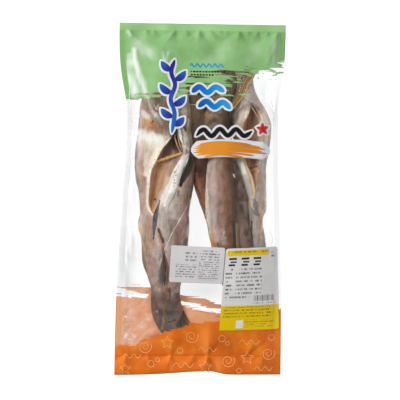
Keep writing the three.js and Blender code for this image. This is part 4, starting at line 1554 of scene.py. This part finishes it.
def make_left_fins(body, film, flesh):
    dark = fin_material("left_side_fin", LEFT_SIDE_BANDS, 4)
    banded = fin_material("left_rear_anal_fin", LEFT_REAR_BANDS, 5)
    laid_fin("fish_left_side_fin", LEFT_SIDE_FIN, 5.2, body, film, dark, side_fin_outline,
             lift=0.9, rays=5, fray=1.6)
    add_strips("fish_left", LEFT_BODY, film, flesh, LEFT_FIN_STRIPS)
    laid_fin("fish_left_rear_anal_fin", LEFT_REAR_FIN, 6.4, body, film, banded, wedge_outline,
             lift=0.7, rays=4, fray=2.4)


def make_right_fish(film):
    body = fish_body("fish_right", RIGHT_BODY, RIGHT_BELLY, rings=150, around=80, ridge=0.035)
    dress_body(body, film, RIGHT_MARKS, "right_fish_skin", dull=0.02, seed=5.0, chevrons=0.46, gloss=0.25)
    back_fin = fin_material("right_back_fin", RIGHT_BACK_BANDS, 3)
    laid_fin("fish_right_back_fin", RIGHT_BACK_FIN, 3.4, body, film, back_fin, back_fin_outline,
             lift=0.8, rays=2)
    fan_tail("fish_right_tail", RIGHT_TAIL_EDGES, RIGHT_BODY, tail_material("right_tail_fin"), "brown")


def make_far_fish(film):
    body = fish_body("fish_far_right", FAR_BODY, FAR_BELLY, FAR_SLIT)
    dress_body(body, film, FAR_MARKS, "far_fish_skin", dull=0.04, seed=9.0, chevrons=0.06, gloss=0.3,
               lip_tint="tan")
    add_strips("fish_far_right", FAR_BODY, film, flesh_material("far_belly_flesh"), FAR_STRIPS)
    brown = fin_material("far_side_fin", FAR_SIDE_BANDS, 5)
    laid_fin("fish_far_right_side_fin", FAR_SIDE_FIN, 6.6, film, film, brown, far_fin_outline,
             lift=-1.0, rays=4)
    fan_tail("fish_far_right_tail", FAR_TAIL_EDGES, FAR_BODY, tail_material("far_tail_fin"), "brown")


def make_under_fish(film):
    body = fish_body("fish_under", UNDER_BODY, UNDER_BELLY, rings=100, around=60)
    dress_body(body, film, UNDER_MARKS, "under_fish_skin", dull=0.3, seed=13.0, chevrons=0.05, gloss=0.12)


def make_pick():
    """A wooden pick with a knot, which holds the left fish's belly open."""
    start, end = Vector((-57, 46, 36)), Vector((-22, 58, 40))
    pick, turn, run = grid_piece("pick", 16, 60)
    knot = 1 + 0.45 * np.exp(-(((run - 0.46) / 0.03) ** 2))
    radius = 1.8 * knot * np.sqrt(np.clip(np.minimum(run, 1 - run) / 0.05, 0.05, 1))
    line = end - start
    side = line.cross(Vector((0, 0, 1))).normalized()
    up = side.cross(line).normalized()
    angle = turn * math.tau
    middle = np.outer(1 - run, start) + np.outer(run, end)
    middle += np.outer(0.5 * np.sin(run * 9), up)
    round_it = np.outer(np.cos(angle) * radius, side) + np.outer(np.sin(angle) * radius, up)
    put_points(pick, middle + round_it)
    close_seams(pick)
    return finish_piece(pick, wood_material())


# Labels

LABEL_LARGE = [(33.1, -59.4), (97.5, -56.2), (101.5, -159.4), (26.2, -162.6)]
LABEL_SMALL = [(-34.5, -56.0), (32.4, -58.4), (29.6, -103.2), (-37.0, -101.9)]
LABEL_CORNER = 3
LABEL_LIFT = 0.7


def rounded(across, along, width, height, radius):
    """Pulls the corners of a unit rectangle in to round ones."""
    x = (across - 0.5) * width
    y = (along - 0.5) * height
    over_x = np.abs(x) - (width / 2 - radius)
    over_y = np.abs(y) - (height / 2 - radius)
    corner = (over_x > 0) & (over_y > 0)
    longest = np.maximum(over_x, over_y)
    reach = np.hypot(over_x, over_y)
    scale = np.where(corner, longest / np.where(corner, reach, 1), 1)
    x = np.where(corner, np.sign(x) * (width / 2 - radius + over_x * scale), x)
    y = np.where(corner, np.sign(y) * (height / 2 - radius + over_y * scale), y)
    return x / width + 0.5, y / height + 0.5


def make_label(node, corners, film, material):
    """A paper label between four corners, top left first and clockwise, laid on the film."""
    paper = f"{node}_paper"
    label, across, along = grid_piece(paper, 60, 80)
    top_left, top_right, low_right, low_left = (np.array(corner) for corner in corners)
    width = np.linalg.norm(top_right - top_left)
    height = np.linalg.norm(top_left - low_left)
    u, v = rounded(across, along, width, height, LABEL_CORNER)
    low = low_left + (low_right - low_left) * u[:, None]
    high = top_left + (top_right - top_left) * u[:, None]
    flat = low + (high - low) * v[:, None]
    put_points(label, np.column_stack([flat, np.zeros_like(u)]))
    lay_on(label, film, LABEL_LIFT)
    thicken(label, LABEL_THICKNESS)
    finish_piece(label, material)
    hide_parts(node)
    return label


def box_mask(recipe, across, along, left, right, low, high):
    """1 inside a box on the label, 0 outside."""
    wide = recipe.times(recipe.math("GREATER_THAN", across, left), recipe.math("LESS_THAN", across, right))
    tall = recipe.times(recipe.math("GREATER_THAN", along, low), recipe.math("LESS_THAN", along, high))
    return recipe.times(wide, tall)


def dash_rows(recipe, across, along, rows, words, seed):
    """Rows of uneven dashes, as fine print looks from afar."""
    place = recipe.times(along, rows)
    row = recipe.math("FLOOR", place)
    in_row = recipe.math("FRACT", place)
    line = recipe.times(recipe.math("GREATER_THAN", in_row, 0.27), recipe.math("LESS_THAN", in_row, 0.73))
    spot = recipe.node("CombineXYZ", {
        0: recipe.times(across, words), 1: recipe.scaled(row, 7.31, seed), 2: 0.0,
    }).outputs[0]
    dashes = recipe.node("TexNoise", {"Vector": spot, "Scale": 1.0, "Detail": 2.0}).outputs[0]
    strokes = recipe.node("TexNoise", {"Vector": spot, "Scale": 4.0, "Detail": 1.0}).outputs[0]
    strokes = recipe.scaled(recipe.step(strokes, 0.4, 0.56), 0.65, 0.35)
    return recipe.times(recipe.times(line, recipe.step(dashes, 0.44, 0.5)), strokes)


def label_material(name, paper, fields, prints):
    """Paper with plain colour fields and rows of dashes. Each field is a box and a colour."""
    recipe = Recipe(name)
    where = recipe.uv()
    across = recipe.axis(where, "X")
    along = recipe.axis(where, "Y")
    cloud = recipe.noise(recipe.place(), 25, 3.0)
    colour = recipe.ramp(cloud, [(0.3, paper[0]), (0.7, paper[1])])
    for box, tint in fields:
        colour = recipe.mix(box_mask(recipe, across, along, *box), colour, tint)
    for box, rows, words, strength, seed in prints:
        dashes = dash_rows(recipe, across, along, rows, words, seed)
        mask = recipe.times(dashes, box_mask(recipe, across, along, *box))
        colour = recipe.mix(recipe.times(mask, strength), colour, srgb(40, 38, 42))
    return recipe.done(recipe.surface({
        "Base Color": colour,
        "Roughness": 0.35,
        "Specular IOR Level": 0.2,
        "Normal": recipe.bump(cloud, 0.1, 0.5),
    }))


def large_label_material():
    """Yellow fields, three columns of bars, a field of stripes and small blocks of colour."""
    yellow = srgb(208, 176, 8)
    ink = srgb(38, 36, 40)
    fields = [
        ((0.035, 0.835, 0.908, 0.975), yellow), ((0.0, 1.0, 0.0, 0.305), yellow),
        ((0.27, 0.39, 0.03, 0.125), srgb(206, 203, 204)), ((0.875, 0.935, 0.88, 0.905), srgb(70, 128, 186)),
        ((0.88, 0.925, 0.928, 0.94), srgb(204, 96, 72)),
    ]
    for left in (0.075, 0.31, 0.535):
        fields += [
            ((left, left + 0.145, 0.862, 0.886), ink), ((left + 0.03, left + 0.145, 0.826, 0.844), ink),
            ((left, left + 0.12, 0.787, 0.81), ink),
        ]
    for k in range(12):
        left = 0.56 + k * 0.03
        fields.append(((left, left + 0.008 + 0.004 * ((k * 7) % 3), 0.355, 0.425), ink))
    prints = [
        ((0.06, 0.81, 0.92, 0.965), 18.3, 34, 0.75, 4.0), ((0.54, 0.94, 0.325, 0.355), 23, 26, 0.8, 6.0),
        ((0.03, 0.17, 0.44, 0.77), 20.8, 22, 0.9, 3.0), ((0.22, 0.70, 0.44, 0.77), 20.8, 26, 0.85, 9.0),
        ((0.04, 0.48, 0.37, 0.42), 20.8, 22, 0.85, 5.0), ((0.05, 0.86, 0.15, 0.29), 26, 34, 0.75, 12.0),
        ((0.41, 0.92, 0.04, 0.13), 34, 40, 0.75, 15.0),
    ]
    return label_material("large_label_paper", (srgb(196, 193, 193), srgb(206, 204, 203)), fields, prints)


def small_label_material():
    prints = [
        ((0.27, 0.49, 0.55, 0.84), 10.5, 22, 0.8, 3.0), ((0.11, 0.49, 0.15, 0.50), 15, 24, 0.85, 6.0),
        ((0.53, 0.90, 0.62, 0.92), 13, 24, 0.85, 8.0), ((0.53, 0.90, 0.09, 0.60), 18, 26, 0.85, 11.0),
    ]
    return label_material("small_label_paper", (srgb(187, 184, 186), srgb(197, 194, 196)), [], prints)


# Printed shapes on the front

KELP_STEM = [(-34, 174), (-38, 158), (-33, 142), (-38, 124), (-33, 106), (-36, 82)]
KELP_LEAVES = [
    [(-37, 160), (-45, 164), (-51, 172)], [(-34, 148), (-26, 152), (-20, 160)],
    [(-36, 132), (-45, 135), (-52, 143)], [(-36, 117), (-27, 120), (-20, 128)],
    [(-34, 102), (-43, 105), (-50, 112)], [(-35, 92), (-27, 95), (-21, 102)],
]
# Fine print on the green field: a thin wavy line, and rows of dashes from one X to another
FINE_WAVE = [(-15 + 2.2 * k, 167 + 2.3 * math.sin(k * 1.9)) for k in range(20)]
FINE_ROWS = [(159, -14, 30), (155, -14, 15)]
RIPPLES = [[(-12, 133), (-3, 140), (7, 133), (17, 140), (28, 134)],
           [(-4, 115), (6, 122), (16, 115), (26, 121), (36, 113)]]
LONG_WAVE = [(-6, 79), (3, 87), (13, 79), (23, 88), (33, 80), (43, 88), (53, 80), (63, 86)]
# The amber brush stroke's bristle marks: place along Y, start and end along X
AMBER_BRISTLES = [
    (70, -2, 62), (67.4, -6, 74), (64.8, -8, 80), (62.2, -7, 76), (59.6, -9, 82), (57, -5, 66),
    (54.6, 4, 52),
]
BRISTLE_HALF = 1.35
AMBER_BORDER = [(-12, 61), (20, 64), (52, 64), (86, 61)]
AMBER_BORDER_HALF = 11
STARFISH = (76, 89)
STARFISH_REACH = 8
BORDER = 2.6
BORDER_LIFT = 0.3
INK_LIFT = 0.55
# The print's inks, shaded along each shape
INKS = {
    "white": [(0.0, srgb(197, 198, 202)), (1.0, srgb(205, 206, 209))],
    "navy": [(0.0, srgb(30, 26, 100)), (0.5, srgb(36, 52, 140)), (1.0, srgb(8, 96, 172))],
    "sky": [(0.0, srgb(6, 66, 150)), (0.5, srgb(0, 110, 184)), (1.0, srgb(44, 140, 190))],
    "amber": [(0.0, srgb(204, 132, 34)), (1.0, srgb(190, 116, 32))],
    "black": [(0.0, srgb(18, 16, 18)), (1.0, srgb(26, 24, 26))],
    "teal": [(0.0, srgb(24, 128, 172)), (1.0, srgb(40, 146, 182))],
    "red": [(0.0, srgb(186, 34, 36)), (1.0, srgb(196, 50, 46))],
    "peach": [(0.0, srgb(224, 154, 88)), (1.0, srgb(232, 170, 108))],
}


def longer(path, reach):
    """A line of places made longer at both ends."""
    first, second, last, before = Vector(path[0]), Vector(path[1]), Vector(path[-1]), Vector(path[-2])
    start = first + (first - second).normalized() * reach
    end = last + (last - before).normalized() * reach
    return [tuple(start), *path[1:-1], tuple(end)]


def starfish_arms():
    """Five arms from the middle of the starfish outwards."""
    arms = []
    for k in range(5):
        angle = math.tau * k / 5 + 0.4
        arm = [(STARFISH[0] + reach * math.cos(angle), STARFISH[1] + reach * math.sin(angle))
               for reach in (-1.5, STARFISH_REACH * 0.4, STARFISH_REACH)]
        arms.append(arm)
    return arms


def bristle_lines():
    """The slightly sagging lines of one dry brush stroke."""
    return [[(x0, y - 1.5), ((x0 * 2 + x1) / 3, y + 1.6), ((x0 + x1 * 2) / 3, y + 1.2), (x1, y - 1)]
            for y, x0, x1 in AMBER_BRISTLES]


def fine_dashes():
    """Short dashes of uneven length in rows."""
    dashes = []
    for y, start, end in FINE_ROWS:
        x = start
        while x < end:
            length = 1.6 + 1.8 * abs(math.sin(x * 1.7 + y))
            dashes.append([(x, y), (x + length / 2, y + 0.2), (x + length, y)])
            x += length + 0.9
    return dashes


def printed(name, shapes, film, lift, material):
    """Flat shapes laid on the film as one piece. A shape is a line, half width, outline and rows."""
    ribbons = [ribbon(f"{name}_{k}", *shape)[0] for k, shape in enumerate(shapes)]
    piece = join_all(name, ribbons)
    lay_on(piece, film, lift)
    thicken(piece, PRINT_THICKNESS)
    return finish_piece(piece, material)


def make_print(film):
    """Kelp, ripples, a wave and a starfish with white borders, a brush stroke and fine line work."""
    leaves = [(leaf, 4.4, leaf_outline, 36) for leaf in KELP_LEAVES]
    stem = [(KELP_STEM, 2.6, brush_outline, 80)]
    ripples = [(ripple, 3.4, brush_outline, 70) for ripple in RIPPLES]
    brush = [(line, BRISTLE_HALF, brush_outline, 60) for line in bristle_lines()]
    wave = [(LONG_WAVE, 2.8, brush_outline, 120)]
    arms = [(arm, 2.3, leaf_outline, 24) for arm in starfish_arms()]
    fine = [(dash, 0.95, brush_outline, 6) for dash in fine_dashes()]
    thin_wave = [(FINE_WAVE, 0.9, even_outline, 160)]
    lines = [(shape(x, y, size), 0.34, even_outline, 72) for shape, x, y, size in SEA_LINES]
    borders = [(longer(path, BORDER), half + BORDER, outline, rows)
               for path, half, outline, rows in leaves + stem + ripples + wave + arms]
    borders.append((AMBER_BORDER, AMBER_BORDER_HALF, brush_outline, 90))
    prints = [
        ("print_borders", borders, BORDER_LIFT, "border_white", "white"),
        ("kelp_leaves", leaves, INK_LIFT, "kelp_leaf_blue", "navy"),
        ("kelp_stem", stem, INK_LIFT + 0.1, "kelp_stem_blue", "navy"),
        ("ripples", ripples, INK_LIFT, "ripple_blue", "sky"),
        ("amber_brush", brush, INK_LIFT - 0.1, "amber_ink", "amber"),
        ("long_wave", wave, INK_LIFT, "wave_black", "black"),
        ("fine_rows", fine, BORDER_LIFT, "fine_print_black", "black"),
        ("fine_wave", thin_wave, BORDER_LIFT, "fine_wave_teal", "teal"),
        ("starfish", arms, INK_LIFT, "starfish_red", "red"),
        ("sea_lines", lines, BORDER_LIFT, "sea_line_ink", "peach"),
    ]
    for name, shapes, lift, material, ink in prints:
        printed(name, shapes, film, lift, print_material(material, INKS[ink]))


def ring_path(x, y, size):
    return [(x + size * math.cos(a), y + size * math.sin(a)) for a in np.linspace(0, math.tau, 25)]


def coil_path(x, y, size):
    angles = np.linspace(2, 13, 40)
    return [(x + size * a / 12 * math.cos(a), y + size * a / 12 * math.sin(a)) for a in angles]


def wave_path(x, y, size):
    return [(x + size * t, y + size * 0.28 * math.sin(t * 5.5)) for t in np.linspace(-1.3, 1.3, 40)]


def star_path(x, y, size):
    reach = [size if k % 2 == 0 else size * 0.5 for k in range(11)]
    return [(x + r * math.sin(k * math.pi / 5), y + r * math.cos(k * math.pi / 5))
            for k, r in enumerate(reach)]


# Fine line drawings of waves, bubbles, shells and starfish on the orange field: shape, place and size
SEA_LINES = [
    (wave_path, -82, -196, 9), (ring_path, -58, -205, 4), (ring_path, -50, -200, 2.4),
    (coil_path, -66, -184, 8), (star_path, -38, -178, 8), (wave_path, -18, -206, 10),
    (coil_path, -8, -170, 8), (ring_path, -22, -188, 3.4), (wave_path, 12, -186, 9),
    (star_path, 10, -208, 8), (coil_path, 38, -200, 8), (ring_path, 30, -172, 4),
    (ring_path, 37, -178, 2.4), (wave_path, 64, -176, 10), (star_path, 62, -196, 8),
    (ring_path, 52, -212, 3), (coil_path, 88, -190, 8), (wave_path, 82, -209, 9),
    (ring_path, 92, -170, 3.6), (star_path, -90, -212, 7),
]


# Stage

def area_light(name, place, size, power, in_gloss=False):
    light = bpy.data.lights.new(name, "AREA")
    light.shape = "DISK"
    light.size = size
    light.energy = power
    lamp = bpy.data.objects.new(name, light)
    lamp.location = place
    lamp.rotation_euler = Vector(place).to_track_quat("Z", "Y").to_euler()
    lamp.visible_glossy = in_gloss
    bpy.context.collection.objects.link(lamp)


def make_stage():
    bpy.ops.object.select_all(action="DESELECT")
    bpy.ops.mesh.primitive_plane_add(size=12, location=(0, 0, -FLOOR_GAP * MM))
    bpy.ops.object.transform_apply(location=True)
    floor = bpy.context.object
    floor.name = "floor"
    floor.data.materials.append(floor_material())

    world = bpy.data.worlds.new("soft_room")
    world.use_nodes = True
    world.node_tree.nodes["Background"].inputs["Color"].default_value = (1, 1, 1, 1)
    world.node_tree.nodes["Background"].inputs["Strength"].default_value = 0.2
    scene = bpy.context.scene
    scene.world = world
    scene.view_settings.view_transform = "Standard"
    area_light("ceiling", (0, 0, 2.4), 1.4, 15)
    area_light("window_left", (-1.3, 0.7, 1.3), 0.9, 25)
    area_light("window_right", (1.3, -0.2, 1.4), 1.0, 9)
    # Small lamps that show as glints in the film
    area_light("glint_left", (-0.9, 0.5, 1.5), 0.34, 5.5, in_gloss=True)
    area_light("glint_top", (0.3, 1.2, 1.3), 0.2, 1.4, in_gloss=True)
    area_light("glint_right", (1.2, -0.3, 1.3), 0.2, 0.8, in_gloss=True)


def make_camera():
    camera = bpy.data.cameras.new("camera")
    camera.sensor_width = 36
    camera.lens = 36 * CAMERA_HEIGHT / FRAME_WIDTH
    camera.clip_end = 100
    eye = bpy.data.objects.new("camera", camera)
    eye.location = (0, 0.0002, CAMERA_HEIGHT * MM)
    eye.rotation_euler = (0, 0, math.radians(CAMERA_TURN_DEG))
    bpy.context.collection.objects.link(eye)
    bpy.context.scene.camera = eye


def main():
    make_stage()
    make_camera()
    film = make_film()
    make_back_print(film)
    make_left_fish(film)
    make_right_fish(film)
    make_far_fish(film)
    make_under_fish(film)
    make_pick()
    make_label("label_large", LABEL_LARGE, film, large_label_material())
    make_label("label_small", LABEL_SMALL, film, small_label_material())
    make_print(film)
    make_film_creases(film)


main()
